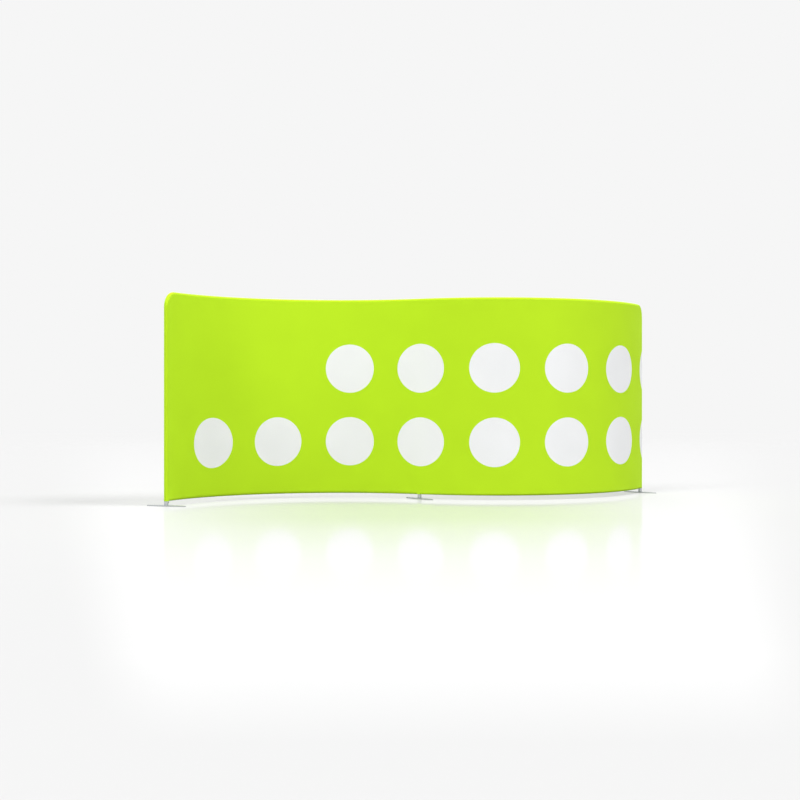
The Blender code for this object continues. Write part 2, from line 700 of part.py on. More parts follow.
# Zips
def zip_tape(name, hand, side):
    """Tape sewn inside one hem; the slider runs between it and the tape opposite."""
    parts = FACETS_PER_ARC * TAPE_PARTS_PER_FACET
    run = [ARC_LENGTH * i / parts for i in range(parts + 1)]
    run = [SLIT] + [u for u in run if SLIT < u < ARC_LENGTH - SLIT] + [ARC_LENGTH - SLIT]
    form = bmesh.new()
    rows = [[form.verts.new(arc_point(hand * u, side * n, TAPE_Z)) for u in run]
            for n in (TAPE_EDGE, TAPE_EDGE + TAPE_WIDTH)]
    for i in range(len(run) - 1):
        form.faces.new((rows[0][i], rows[0][i + 1], rows[1][i + 1], rows[1][i]))
    form.normal_update()
    bmesh.ops.reverse_faces(form, faces=[f for f in form.faces if f.normal.z < 0])
    mesh = bpy.data.meshes.new(name)
    form.to_mesh(mesh)
    form.free()
    obj = add_object(name, mesh, GREEN_TAPE)
    sheet = obj.modifiers.new("sheet", "SOLIDIFY")
    sheet.thickness = TAPE
    sheet.offset = 1


def slider_mesh():
    """Two plates joined by a neck, with a wire bail below; X runs along the zip."""
    half = SLIDER_LENGTH / 2
    outline = [(-half, SLIDER_TAIL_HALF_WIDTH), (0, SLIDER_HALF_WIDTH), (half, SLIDER_TAIL_HALF_WIDTH)]
    outline += [(x, -y) for x, y in reversed(outline)]
    lower = flat_outline("slider_lower", outline, SLIDER_PLATE)
    body = add_object("slider_body", lower)
    upper = add_object("slider_upper", lower.copy(), None,
                       Matrix.Translation((0, 0, SLIDER_TOP_Z - SLIDER_PLATE - SLIDER_FLOOR_Z)))
    x = SLIDER_NECK_LENGTH / 2
    y = SLIDER_NECK / 2
    neck = flat_outline("slider_neck", [(-x, -y), (x, -y), (x, y), (-x, y)],
                        SLIDER_TOP_Z - SLIDER_FLOOR_Z - SLIDER_PLATE)
    neck = add_object("slider_neck", neck, None, Matrix.Translation((0, 0, SLIDER_PLATE / 2)))
    bail = bpy.data.curves.new("slider_bail", "CURVE")
    bail.dimensions = "3D"
    bail.bevel_depth = BAIL_WIRE
    bail.bevel_resolution = BAIL_SIDES // 2 - 2
    bail.use_fill_caps = True
    drop = SLIDER_FLOOR_Z - PULL_PIVOT_Z + BAIL_REACH
    line = [(-BAIL_HALF_SPAN * cos(pi * i / BAIL_STEPS), -drop * sin(pi * i / BAIL_STEPS))
            for i in range(BAIL_STEPS + 1)]
    line = [(-BAIL_HALF_SPAN, SLIDER_PLATE / 2)] + line + [(BAIL_HALF_SPAN, SLIDER_PLATE / 2)]
    spline = bail.splines.new("POLY")
    spline.points.add(len(line) - 1)
    for target, (x, z) in zip(spline.points, line):
        target.co = (x, 0, z, 1)
    wire = add_object("slider_wire", merged(evaluated_mesh(add_object("slider_bail", bail))))
    for piece in (neck, upper, wire):
        combine(body, piece, "UNION")
    return evaluated_mesh(body)


def pull_mesh():
    """Flat tab that hangs from its bar, with a window round the bail; Y is the bar's axis."""
    top = PULL_BAR / 2
    half = PULL_WIDTH / 2
    outline = [(-half, top), (-half, PULL_CORNER - PULL_LENGTH), (PULL_CORNER - half, -PULL_LENGTH),
               (half - PULL_CORNER, -PULL_LENGTH), (half, PULL_CORNER - PULL_LENGTH), (half, top)]
    turn = Matrix(((0, 0, 1, 0), (1, 0, 0, 0), (0, 1, 0, 0), (0, 0, 0, 1)))
    tab = flat_outline("pull_tab", outline, PULL_SHEET)
    tab.transform(turn @ Matrix.Translation((0, 0, -PULL_SHEET / 2)))
    tab = add_object("pull_tab", tab)
    half = PULL_WINDOW_WIDTH / 2
    low = -PULL_BAR / 2 - PULL_WINDOW
    window = flat_outline("pull_window", [(-half, low), (half, low), (half, -top), (-half, -top)],
                          PULL_SHEET + 2 * OVERRUN)
    window.transform(turn @ Matrix.Translation((0, 0, -PULL_SHEET / 2 - OVERRUN)))
    combine(tab, add_object("pull_window", window), "DIFFERENCE")
    return evaluated_mesh(tab)


def zip_slides():
    """A slider and its pull on each zip, carried about the centre of the arc they run round."""
    slider = slider_mesh()
    pull = pull_mesh()
    for side, hand in SIDES.items():
        place = arc_point(hand * SLIDER_REST, 0, SLIDER_FLOOR_Z)
        ahead = arc_point(hand * (SLIDER_REST - FIT_GAP), 0, SLIDER_FLOOR_Z)
        centre = Vector((hand * ARC_CHORD / 2, hand * ARC_RADIUS * cos(ARC_TURN / 2), 0))
        pivot = bpy.data.objects.new(side + "_arc_centre", None)
        PARTS.objects.link(pivot)
        pivot.location = centre
        bpy.context.view_layer.update()
        body = add_object(side + "_zip_slider", slider.copy(), ZIP_METAL,
                          axes(place, UP, ahead - place))
        body.parent = pivot
        body.matrix_parent_inverse = pivot.matrix_world.inverted()
        tab = add_object(side + "_zip_pull", pull.copy(), ZIP_METAL,
                         axes(place + UP * (PULL_PIVOT_Z - SLIDER_FLOOR_Z), UP, ahead - place))
        tab.parent = pivot
        tab.matrix_parent_inverse = pivot.matrix_world.inverted()


for old in list(bpy.data.objects):
    bpy.data.objects.remove(old)
PARTS = collection("serpentine_display_wall")
CUTTERS = collection("cutters")
FRAME = frame_tubes()
for side_name, side_hand in SIDES.items():
    lower_pole, upper_pole = spreader(side_name, side_hand)
    FRAME[lower_pole.name] = lower_pole
    FRAME[upper_pole.name] = upper_pole
snap_buttons()
foot("left", -ARC_LENGTH)
foot("centre", 0)
foot("right", ARC_LENGTH)
cover("front_cover", FRONT)
cover("back_cover", BACK)
for side_name, side_hand in SIDES.items():
    zip_tape(side_name + "_zip_front_tape", side_hand, FRONT)
    zip_tape(side_name + "_zip_back_tape", side_hand, BACK)
zip_slides()
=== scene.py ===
"""Looks of the serpentine fabric display wall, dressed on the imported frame.

Every bent piece is made straight, with X along the wall, the front facing -Y and Z up.
One Geometry Nodes group then bends it to the two arcs. Lengths are in metres.
"""

from math import atan2, copysign, cos, exp, hypot, pi, radians, sin, sqrt

import bmesh
import bpy
from mathutils import Matrix, Vector


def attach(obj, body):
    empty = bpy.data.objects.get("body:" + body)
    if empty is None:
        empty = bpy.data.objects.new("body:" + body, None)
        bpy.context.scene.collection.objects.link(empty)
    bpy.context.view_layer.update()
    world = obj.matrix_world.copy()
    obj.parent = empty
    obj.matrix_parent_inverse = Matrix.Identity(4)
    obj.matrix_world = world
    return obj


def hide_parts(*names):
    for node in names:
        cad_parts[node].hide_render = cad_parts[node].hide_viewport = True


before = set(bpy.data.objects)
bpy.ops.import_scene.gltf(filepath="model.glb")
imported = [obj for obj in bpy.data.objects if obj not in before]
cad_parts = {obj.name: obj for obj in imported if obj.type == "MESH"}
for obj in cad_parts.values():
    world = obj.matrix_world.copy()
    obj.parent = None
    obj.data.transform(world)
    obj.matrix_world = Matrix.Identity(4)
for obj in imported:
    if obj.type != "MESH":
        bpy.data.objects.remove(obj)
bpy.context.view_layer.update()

# Plan of the wall, as in the solids
ARC_CHORD = 2.9775
ARC_TURN = radians(98.0)
ARC_RADIUS = ARC_CHORD / 2 / sin(ARC_TURN / 2)
ARC_LENGTH = ARC_RADIUS * ARC_TURN
FACETS_PER_ARC = 18
FACET = ARC_LENGTH / FACETS_PER_ARC
# Facets from each arc's outer end to its spreader pole, corner joint and rail joint
SPREADER_FACETS = 9.5
CORNER_JOINT_FACETS = 1.5
RAIL_JOINT_FACETS = 8.5
SPREADER = ARC_LENGTH - SPREADER_FACETS * FACET

# Frame tube, as in the solids
TUBE_RADIUS = 0.0225
TUBE_WALL = 0.0015
SWAGE_RADIUS = 0.0206
SWAGE_LENGTH = 0.075
SWAGE_TAPER = 0.003
CORNER_BEND = 0.150
TEE_HALF = 0.030
RAIL_TOP_Z = 2.3154
RAIL_BOTTOM_Z = 0.0807
POST_FOOT_Z = 0.0136
POST_JOINT_Z = (RAIL_TOP_Z + RAIL_BOTTOM_Z) / 2
CORNER_JOINT = ARC_LENGTH - CORNER_JOINT_FACETS * FACET + SWAGE_LENGTH / 2
RAIL_JOINT = ARC_LENGTH - RAIL_JOINT_FACETS * FACET + SWAGE_LENGTH / 2
TUBE_SIDES = 40
HOLE_RADIUS = 0.0043
HOLE_SIDES = 16
TUBE_STEP = 0.035

# Cover: cut cloth, its rolled edges and how far it is drawn in between the poles
FLOOR_CLEARANCE = 0.054
COVER_FACE = 0.0254
CLOTH = 0.0006
ROLL_ANGLES = (0, 2.2, 5, 9, 16, 26, 38, 51, 64, 77, 90)
SEAM_DIP = 0.0011
SEAM_DIP_ANGLE = radians(9)
CORNER_STEPS = 16
COLUMN_FINE = 0.003
COLUMN_COARSE = 0.026
COLUMN_GROWTH = 4
FACE_ROWS = 50
HEM_ROLL = 0.0165
HEM_RISE = 0.025
HEM_STEPS = 8
HEM_EDGE = 0.0083
POST_CUT = 0.0243
CONCAVE_BOW = 0.014
CONVEX_BOW = 0.008
BOW_RUN = 0.40
POLE_RUN = 0.22
FOLD = 0.0011
FOLD_REACH = 0.30
FOLD_START = 0.05
FOLD_FADE = 0.04
CORNER_FOLDS = 9
POST_FOLDS = 7

# Print: rows of round dots on a plain ground, which run on round the right-hand end
DOT_RADIUS = 0.2905
DOT_SQUEEZE = 1.019
DOT_PITCH = 0.8774
DOT_START = -2.6115
DOT_LAST = 14
DOT_ROWS = ((0.668, 0), (1.5270, 2))
DYE_EDGE = 0.0015

# Spacing of the threads of the knit and of the zip tape, coarser than real so that they show
KNIT_WALE = 0.0030
KNIT_COURSE = 0.0024
TAPE_PICK = 0.0016
TAPE_RIB = 0.0013

# Sewing, drawn coarser than real stitches so that it shows
STITCH_PITCH = 0.0060
STITCH_LENGTH = 0.0040
THREAD_RADIUS = 0.00035
SEAM_STITCH_OFFSET = 0.0045
HEM_STITCH_HEIGHTS = (0.0045, 0.0120)
PATH_STEP = 0.012

# Zips along the underside
TAPE_Z = 0.0553
TAPE = 0.0008
TAPE_WIDTH = 0.0105
TAPE_EDGE = 0.0015
SLIT = 0.0265
TOOTH_PITCH = 0.0024
TOOTH_SIZE = (0.0009, 0.0013, 0.0008)

# Feet, as in the solids
PLATE_LENGTH = 0.480
PLATE_WIDTH = 0.112
PLATE_THICKNESS = 0.008
PLATE_POINTS = 120
PLATE_FORM = 1.6
PLATE_CHAMFER = 0.0016
PLATE_HEADING = {"left": radians(-41.0), "centre": radians(-72.0), "right": radians(-66.0)}
PEG_COLLAR = 0.005
PEG_LENGTH = 0.046
PEG_RADIUS = 0.0199
PEG_CHAMFER = 0.002
FIT_GAP = 0.0003

SEAM_U = ARC_LENGTH + pi / 2 * COVER_FACE

FRONT = 1
BACK = -1
SIDES = {"left": -1, "right": 1}
POSTS = {"left": -1, "centre": 0, "right": 1}


# Building helpers
def shown(name, mesh):
    """A piece whose place is in its mesh."""
    piece = bpy.data.objects.new(name, mesh)
    bpy.context.scene.collection.objects.link(piece)
    return piece


def finished(piece):
    """The piece with its modifiers made part of a plain mesh."""
    bpy.context.view_layer.update()
    graph = bpy.context.evaluated_depsgraph_get()
    mesh = bpy.data.meshes.new_from_object(piece.evaluated_get(graph))
    piece.modifiers.clear()
    if piece.type == "CURVE":
        name = piece.name
        bpy.data.objects.remove(piece)
        return shown(name, mesh)
    piece.data = mesh
    mesh.name = piece.name
    return piece


def edit(mesh):
    form = bmesh.new()
    form.from_mesh(mesh)
    return form


def put_back(form, mesh):
    form.to_mesh(mesh)
    form.free()


def smooth(mesh, angle=radians(35)):
    mesh.shade_smooth()
    mesh.set_sharp_from_angle(angle=angle)


def ease(x):
    """Smooth step from 0 to 1."""
    x = min(max(x, 0), 1)
    return x * x * (3 - 2 * x)


def feed(tree, node, links):
    """Set or link a node's inputs, each to a value, a socket or a node's first output."""
    for key, value in links.items():
        if isinstance(value, bpy.types.Node):
            value = value.outputs[0]
        if isinstance(value, bpy.types.NodeSocket):
            tree.links.new(value, node.inputs[key])
        else:
            node.inputs[key].default_value = value


def add_node(tree, kind, links=None, **settings):
    """Add a node with its settings and inputs."""
    made = tree.nodes.new(kind)
    for key, value in settings.items():
        setattr(made, key, value)
    feed(tree, made, links or {})
    return made


def maths(tree, operation, *values):
    return add_node(tree, "ShaderNodeMath", dict(enumerate(values)), operation=operation)


def ranged(tree, value, start, end, low=0.0, high=1.0, **settings):
    """A value mapped so that start becomes low and end becomes high."""
    return add_node(tree, "ShaderNodeMapRange", {"Value": value, "From Min": start, "From Max": end,
                                                 "To Min": low, "To Max": high}, **settings)


def srgb(code):
    """Linear colour of an sRGB hex value."""
    def linear(c):
        return c / 12.92 if c <= 0.04045 else ((c + 0.055) / 1.055) ** 2.4
    return tuple(linear(int(code[i:i + 2], 16) / 255) for i in (0, 2, 4)) + (1,)


# Bending to the arcs
def bend_group():
    """Node group that bends straight geometry to two equal arcs of opposite curvature."""
    tree = bpy.data.node_groups.new("serpentine_bend", "GeometryNodeTree")
    face = tree.interface
    face.new_socket("Geometry", in_out="INPUT", socket_type="NodeSocketGeometry")
    face.new_socket("Arc radius", in_out="INPUT", socket_type="NodeSocketFloat")
    face.new_socket("Arc turn", in_out="INPUT", socket_type="NodeSocketFloat")
    face.new_socket("Geometry", in_out="OUTPUT", socket_type="NodeSocketGeometry")
    given = add_node(tree, "NodeGroupInput")
    radius = given.outputs["Arc radius"]
    half = maths(tree, "MULTIPLY", given.outputs["Arc turn"], 0.5)
    place = add_node(tree, "ShaderNodeSeparateXYZ",
                     {0: add_node(tree, "GeometryNodeInputPosition")})
    along = maths(tree, "ABSOLUTE", place.outputs["X"])
    hand = maths(tree, "SIGN", place.outputs["X"])
    turn = maths(tree, "DIVIDE", along, radius)
    heading = maths(tree, "SUBTRACT", turn, half)
    sine = maths(tree, "SINE", heading)
    cosine = maths(tree, "COSINE", heading)
    half_sine = maths(tree, "SINE", half)
    half_cosine = maths(tree, "COSINE", half)
    reach = maths(tree, "MULTIPLY", hand, radius)
    run = maths(tree, "ADD", sine, half_sine)
    rise = maths(tree, "SUBTRACT", half_cosine, cosine)
    x_arc = maths(tree, "MULTIPLY", reach, run)
    y_arc = maths(tree, "MULTIPLY", reach, rise)
    x_off = maths(tree, "MULTIPLY", place.outputs["Y"], sine)
    y_off = maths(tree, "MULTIPLY", place.outputs["Y"], cosine)
    x = maths(tree, "SUBTRACT", x_arc, x_off)
    y = maths(tree, "ADD", y_arc, y_off)
    bent = add_node(tree, "ShaderNodeCombineXYZ", {"X": x, "Y": y, "Z": place.outputs["Z"]})
    moved = add_node(tree, "GeometryNodeSetPosition",
                     {"Geometry": given.outputs["Geometry"], "Position": bent})
    add_node(tree, "NodeGroupOutput", {0: moved})
    return tree


def piece_tree(name, sizes):
    """A geometry tree with named size inputs; returns it with its input node."""
    tree = bpy.data.node_groups.new(name, "GeometryNodeTree")
    face = tree.interface
    face.new_socket("Geometry", in_out="INPUT", socket_type="NodeSocketGeometry")
    for label in (*sizes, "Arc radius", "Arc turn"):
        face.new_socket(label, in_out="INPUT", socket_type="NodeSocketFloat")
    face.new_socket("Finish", in_out="INPUT", socket_type="NodeSocketMaterial")
    face.new_socket("Geometry", in_out="OUTPUT", socket_type="NodeSocketGeometry")
    return tree, add_node(tree, "NodeGroupInput")


def close_tree(tree, given, geometry):
    """End a tree: realise what was placed, bend it to the arcs and give it its finish."""
    real = add_node(tree, "GeometryNodeRealizeInstances", {0: geometry})
    bent = add_node(tree, "GeometryNodeGroup",
                    {"Geometry": real, "Arc radius": given.outputs["Arc radius"],
                     "Arc turn": given.outputs["Arc turn"]}, node_tree=BEND)
    finish = add_node(tree, "GeometryNodeSetMaterial",
                      {"Geometry": bent, "Material": given.outputs["Finish"]})
    add_node(tree, "NodeGroupOutput", {0: finish})


def bent_tree():
    """Bends a piece that is already whole."""
    tree, given = piece_tree("bent_piece", ())
    close_tree(tree, given, given.outputs["Geometry"])
    return tree


def stitch_tree():
    """Rows of sewn stitches along the edges of a path mesh."""
    tree, given = piece_tree("stitch_rows", ("Pitch", "Stitch length", "Thread radius"))
    line = add_node(tree, "GeometryNodeMeshToCurve", {0: given.outputs["Geometry"]})
    points = add_node(tree, "GeometryNodeResampleCurve",
                      {"Curve": line, "Length": given.outputs["Pitch"]}, mode="LENGTH")
    turn = add_node(tree, "FunctionNodeAlignRotationToVector",
                    {"Vector": add_node(tree, "GeometryNodeInputTangent")}, axis="X")
    half = maths(tree, "MULTIPLY", given.outputs["Stitch length"], 0.5)
    thread = given.outputs["Thread radius"]
    size = add_node(tree, "ShaderNodeCombineXYZ", {"X": half, "Y": thread, "Z": thread})
    stitch = add_node(tree, "GeometryNodeMeshIcoSphere", {"Radius": 1.0, "Subdivisions": 1})
    placed = add_node(tree, "GeometryNodeInstanceOnPoints",
                      {"Points": points, "Instance": stitch, "Rotation": turn, "Scale": size})
    close_tree(tree, given, placed)
    return tree


def teeth_tree():
    """Zip teeth along a path, set in turn to one side and the other so that they mesh."""
    tree, given = piece_tree("zip_teeth", ("Pitch", "Tooth length", "Tooth width", "Tooth height"))
    line = add_node(tree, "GeometryNodeMeshToCurve", {0: given.outputs["Geometry"]})
    points = add_node(tree, "GeometryNodeResampleCurve",
                      {"Curve": line, "Length": given.outputs["Pitch"]}, mode="LENGTH")
    parity = maths(tree, "FLOORED_MODULO", add_node(tree, "GeometryNodeInputIndex"), 2.0)
    sign = maths(tree, "SUBTRACT", parity, 0.5)
    shift = maths(tree, "MULTIPLY", sign, given.outputs["Tooth width"])
    offset = add_node(tree, "ShaderNodeCombineXYZ", {"Y": shift})
    moved = add_node(tree, "GeometryNodeSetPosition", {"Geometry": points, "Offset": offset})
    size = add_node(tree, "ShaderNodeCombineXYZ",
                    {"X": given.outputs["Tooth length"], "Y": given.outputs["Tooth width"],
                     "Z": given.outputs["Tooth height"]})
    tooth = add_node(tree, "GeometryNodeMeshIcoSphere", {"Radius": 1.0, "Subdivisions": 1})
    placed = add_node(tree, "GeometryNodeInstanceOnPoints",
                      {"Points": moved, "Instance": tooth, "Scale": size})
    close_tree(tree, given, placed)
    return tree


def bend(piece, tree, finish, **sizes):
    """Run a piece through a tree, with its named sizes, and keep the plain mesh."""
    modifier = piece.modifiers.new("bend", "NODES")
    modifier.node_group = tree
    values = {"Arc radius": ARC_RADIUS, "Arc turn": ARC_TURN, "Finish": finish}
    values.update({key.replace("_", " ").capitalize(): value for key, value in sizes.items()})
    for item in tree.interface.items_tree:
        if item.in_out == "INPUT" and item.name in values:
            modifier[item.identifier] = values[item.name]
    return finished(piece)


# Finishes
def new_material(name, chart=None):
    """A material, its tree, the place on the piece or on its chart, and its shader."""
    material = bpy.data.materials.new(name)
    material.use_nodes = True
    tree = material.node_tree
    if chart:
        place = add_node(tree, "ShaderNodeUVMap", uv_map=chart)
    else:
        place = add_node(tree, "ShaderNodeTexCoord").outputs["Object"]
    return material, tree, place, tree.nodes["Principled BSDF"]


def noise(tree, place, scale, detail):
    return add_node(tree, "ShaderNodeTexNoise", {"Vector": place, "Scale": scale, "Detail": detail})


def bumped(tree, height, strength, distance):
    return add_node(tree, "ShaderNodeBump",
                    {"Height": height, "Strength": strength, "Distance": distance})


def mixed(tree, share, first, second):
    """A colour between two, each an sRGB hex value or a socket."""
    first, second = (srgb(c) if isinstance(c, str) else c for c in (first, second))
    return add_node(tree, "ShaderNodeMix", {0: share, 6: first, 7: second},
                    data_type="RGBA").outputs[2]


def weave(tree, place, across, along):
    """Rows of threads crossing at the given spacings. A wave of scale 1 repeats every pi / 10."""
    rows = [add_node(tree, "ShaderNodeTexWave",
                     {"Vector": place, "Scale": pi / 10 / pitch, "Distortion": 0.5, "Detail": 1.0},
                     bands_direction=way) for way, pitch in (("X", across), ("Y", along))]
    return maths(tree, "MULTIPLY", rows[0].outputs["Fac"], rows[1].outputs["Fac"])


def dots(tree, u, v):
    """How far a point of the cloth lies from the centre of the nearest printed dot."""
    distances = []
    for height, first in DOT_ROWS:
        step = maths(tree, "SUBTRACT", u, DOT_START)
        step = maths(tree, "DIVIDE", step, DOT_PITCH)
        index = maths(tree, "ROUND", step)
        index = maths(tree, "MAXIMUM", index, first)
        index = maths(tree, "MINIMUM", index, DOT_LAST)
        away = maths(tree, "SUBTRACT", step, index)
        away = maths(tree, "MULTIPLY", away, DOT_PITCH)
        up = maths(tree, "SUBTRACT", v, height)
        up = maths(tree, "MULTIPLY", up, DOT_SQUEEZE)
        place = add_node(tree, "ShaderNodeCombineXYZ", {"X": away, "Y": up})
        length = add_node(tree, "ShaderNodeVectorMath", {0: place}, operation="LENGTH")
        distances.append(length.outputs["Value"])
    return maths(tree, "MINIMUM", *distances)


def printed_knit():
    """Stretch polyester warp knit with a dye print: matt, with a soft sheen at the edges."""
    material, tree, cloth, shader = new_material("printed_stretch_knit", "cloth")
    place = add_node(tree, "ShaderNodeSeparateXYZ", {0: cloth})
    distance = dots(tree, place.outputs["X"], place.outputs["Y"])
    loops = weave(tree, cloth, KNIT_WALE, KNIT_COURSE)
    dot = ranged(tree, distance, DOT_RADIUS + DYE_EDGE, DOT_RADIUS - DYE_EDGE,
                 interpolation_type="SMOOTHSTEP")
    # Uneven take-up of the dye over about half a metre, and fine mottling over 8 mm
    broad, fine = (ranged(tree, noise(tree, cloth, scale, detail), 0.3, 0.7, 0.985, 1.015)
                   for scale, detail in ((2.2, 1.0), (125.0, 2.0)))
    # Painted shade: the cloth is drawn a little darker in the hollows between the knit's loops
    knit_hollow_shade = ranged(tree, loops, 0.0, 1.0, 0.94, 1.02)
    dye_take_and_knit_shade = maths(tree, "MULTIPLY", maths(tree, "MULTIPLY", broad, fine), knit_hollow_shade)
    colour = add_node(tree, "ShaderNodeVectorMath",
                      {0: mixed(tree, dot, "BEE922", "F3F4F5"), 3: dye_take_and_knit_shade}, operation="SCALE")
    feed(tree, shader, {"Base Color": colour, "Normal": bumped(tree, loops, 0.5, 0.0006),
                        "Roughness": ranged(tree, loops, 0.0, 1.0, 0.82, 0.93),
                        "Specular IOR Level": 0.15, "Sheen Weight": 0.05, "Sheen Roughness": 0.35})
    return material


def anodised_tube():
    """Drawn and satin-anodised aluminium: fine die lines over a soft metal.

    The lines run upright, along the posts and poles and across the rails inside the cover.
    """
    material, tree, place, shader = new_material("anodised_aluminium_tube")
    lines = add_node(tree, "ShaderNodeMapping", {"Vector": place, "Scale": (1400.0, 1400.0, 9.0)})
    drawn = noise(tree, lines, 1.0, 2.0)
    cloud = noise(tree, place, 38.0, 3.0)
    feed(tree, shader, {"Base Color": mixed(tree, drawn, "AEB2B4", "C9CCCE"), "Metallic": 1.0,
                        "Roughness": ranged(tree, cloud, 0.3, 0.7, 0.30, 0.42),
                        "Normal": bumped(tree, drawn, 0.15, 0.0001)})
    return material


def turned_aluminium():
    """Lathe-turned aluminium: fine rings about the peg's axis."""
    material, tree, place, shader = new_material("turned_aluminium_peg")
    rings = add_node(tree, "ShaderNodeMapping", {"Vector": place, "Scale": (4.0, 4.0, 1600.0)})
    cut = noise(tree, rings, 1.0, 1.0)
    feed(tree, shader, {"Base Color": mixed(tree, cut, "A9ADAF", "C2C5C7"), "Metallic": 1.0,
                        "Roughness": 0.28, "Normal": bumped(tree, cut, 0.2, 0.0001)})
    return material


def powder_coat():
    """Silver powder coat on laser-cut steel: fine orange peel and metal flake, scuffed a little."""
    material, tree, place, shader = new_material("silver_powder_coat")
    peel = noise(tree, place, 650.0, 1.0)
    flake = add_node(tree, "ShaderNodeTexVoronoi", {"Vector": place, "Scale": 2600.0})
    scuff = noise(tree, place, 24.0, 4.0)
    tone = mixed(tree, flake.outputs["Distance"], "B4B7B9", "9FA3A5")
    worn = ranged(tree, scuff, 0.58, 0.72, 0.0, 0.35)
    feed(tree, shader, {"Base Color": mixed(tree, worn, tone, "8C9092"), "Metallic": 0.55,
                        "Roughness": ranged(tree, scuff, 0.0, 1.0, 0.38, 0.55),
                        "Normal": bumped(tree, peel, 0.2, 0.0002)})
    return material


def spring_steel():
    """Bright stamped spring steel with a faint, fine mottle."""
    material, tree, place, shader = new_material("bright_spring_steel")
    marks = noise(tree, place, 700.0, 2.0)
    feed(tree, shader, {"Base Color": mixed(tree, marks, "BDBFC0", "D3D4D5"), "Metallic": 1.0,
                        "Roughness": ranged(tree, marks, 0.0, 1.0, 0.18, 0.34)})
    return material


def moulded_nylon():
    """Glass-filled nylon moulding: near black, with the fine spark texture of its tool."""
    material, tree, place, shader = new_material("moulded_nylon")
    spark = noise(tree, place, 1100.0, 1.0)
    feed(tree, shader, {"Base Color": mixed(tree, spark, "26282A", "323537"), "Roughness": 0.52,
                        "Normal": bumped(tree, spark, 0.25, 0.0001)})
    return material


def woven_tape():
    """Woven polyester zip tape: narrow ribs along its length, dyed to the cover."""
    material, tree, place, shader = new_material("woven_zip_tape", "cloth")
    threads = weave(tree, place, TAPE_PICK, TAPE_RIB)
    feed(tree, shader, {"Base Color": mixed(tree, threads, "8FB325", "A4CC2E"), "Roughness": 0.85,
                        "Normal": bumped(tree, threads, 0.3, 0.0002)})
    return material


def sewing_thread():
    """Twisted polyester sewing thread, a shade off the cloth that it holds."""
    material, tree, place, shader = new_material("polyester_thread")
    twist = noise(tree, place, 900.0, 1.0)
    feed(tree, shader, {"Base Color": mixed(tree, twist, "A9D02A", "C6EC48"), "Roughness": 0.6,
                        "Sheen Weight": 0.2})
    return material


def moulded_acetal():
    """Moulded acetal zip teeth: smooth, waxy plastic in the cover's colour."""
    material, tree, place, shader = new_material("moulded_zip_teeth")
    cloud = noise(tree, place, 260.0, 2.0)
    feed(tree, shader, {"Base Color": mixed(tree, cloud, "93B62A", "A9CF36"), "Roughness": 0.35})
    return material


def plated_zinc():
    """Die-cast zinc slider under dull nickel plate, tumbled smooth."""
    material, tree, place, shader = new_material("nickel_plated_zinc")
    cloud = noise(tree, place, 420.0, 2.0)
    feed(tree, shader, {"Base Color": mixed(tree, cloud, "9FA19D", "B5B6B2"), "Metallic": 1.0,
                        "Roughness": ranged(tree, cloud, 0.0, 1.0, 0.24, 0.42)})
    return material


# Cover
def cover_columns():
    """Places along the top rail between the corner bends, closer together at the middle post."""
    edge = ARC_LENGTH - CORNER_BEND
    run = [0.0]
    while run[-1] < edge:
        step = COLUMN_FINE
        if run[-1] >= SLIT + COLUMN_FINE:
            step = min(COLUMN_COARSE, COLUMN_FINE + (run[-1] - SLIT) / COLUMN_GROWTH)
        run.append(run[-1] + step)
    scale = edge / run[-1]
    right = [s * scale for s in run[1:-1]]
    return [-s for s in reversed(right)] + [0.0] + right


def cover_ribs():
    """Columns of a panel from left to right: s and z on the tube, and the outward direction."""
    corner = []
    for i in range(CORNER_STEPS + 1):
        a = pi / 2 * i / CORNER_STEPS
        corner.append((ARC_LENGTH - CORNER_BEND * (1 - cos(a)),
                       RAIL_TOP_Z - CORNER_BEND * (1 - sin(a)), (cos(a), sin(a))))
    left = [(-s, z, (-out[0], out[1])) for s, z, out in corner]
    return left + [(s, RAIL_TOP_Z, (0, 1)) for s in cover_columns()] + corner[::-1]


def drawn_in(s, side):
    """How far the taut cloth stands off the flat between the rails, halfway up."""
    off = min(abs(s), ARC_LENGTH - abs(s))
    ends = ease(off / BOW_RUN)
    if (s < 0) == (side == FRONT):
        return CONCAVE_BOW * ends
    pole = 1 - exp(-((abs(s) - SPREADER) / POLE_RUN) ** 2)
    return -CONVEX_BOW * ends * pole


def tension_folds(s, z):
    """Shallow folds that fan out from the bent corners and from the posts at the hem."""
    total = 0.0
    spots = [(hand * (ARC_LENGTH - CORNER_BEND), RAIL_TOP_Z - CORNER_BEND, CORNER_FOLDS)
             for hand in (-1, 1)]
    spots += [(post, FLOOR_CLEARANCE, POST_FOLDS) for post in (-ARC_LENGTH, 0, ARC_LENGTH)]
    for x, height, number in spots:
        reach = hypot(s - x, z - height)
        swing = atan2(z - height, s - x)
        near = ease(reach / FOLD_START) * exp(-(reach / FOLD_REACH) ** 2)
        total += FOLD * near * cos(swing * number + x)
    return total


def hem_profile(s):
    """Depth and height of the points from the face round the hem to its edge, at one place."""
    edge = HEM_EDGE
    for post in (-ARC_LENGTH, 0, ARC_LENGTH):
        off = abs(s - post)
        if off < POST_CUT:
            edge = max(edge, sqrt(POST_CUT ** 2 - off ** 2))
    roll = min(HEM_ROLL, COVER_FACE - edge)
    rise = roll * HEM_RISE / HEM_ROLL
    points = []
    for i in range(HEM_STEPS + 1):
        a = pi / 2 * i / HEM_STEPS
        points.append((COVER_FACE - roll * (1 - cos(a)), FLOOR_CLEARANCE + rise * (1 - sin(a))))
    inner = points[-1][0]
    points += [(inner + (edge - inner) * share, FLOOR_CLEARANCE) for share in (0.5, 1.0)]
    return points


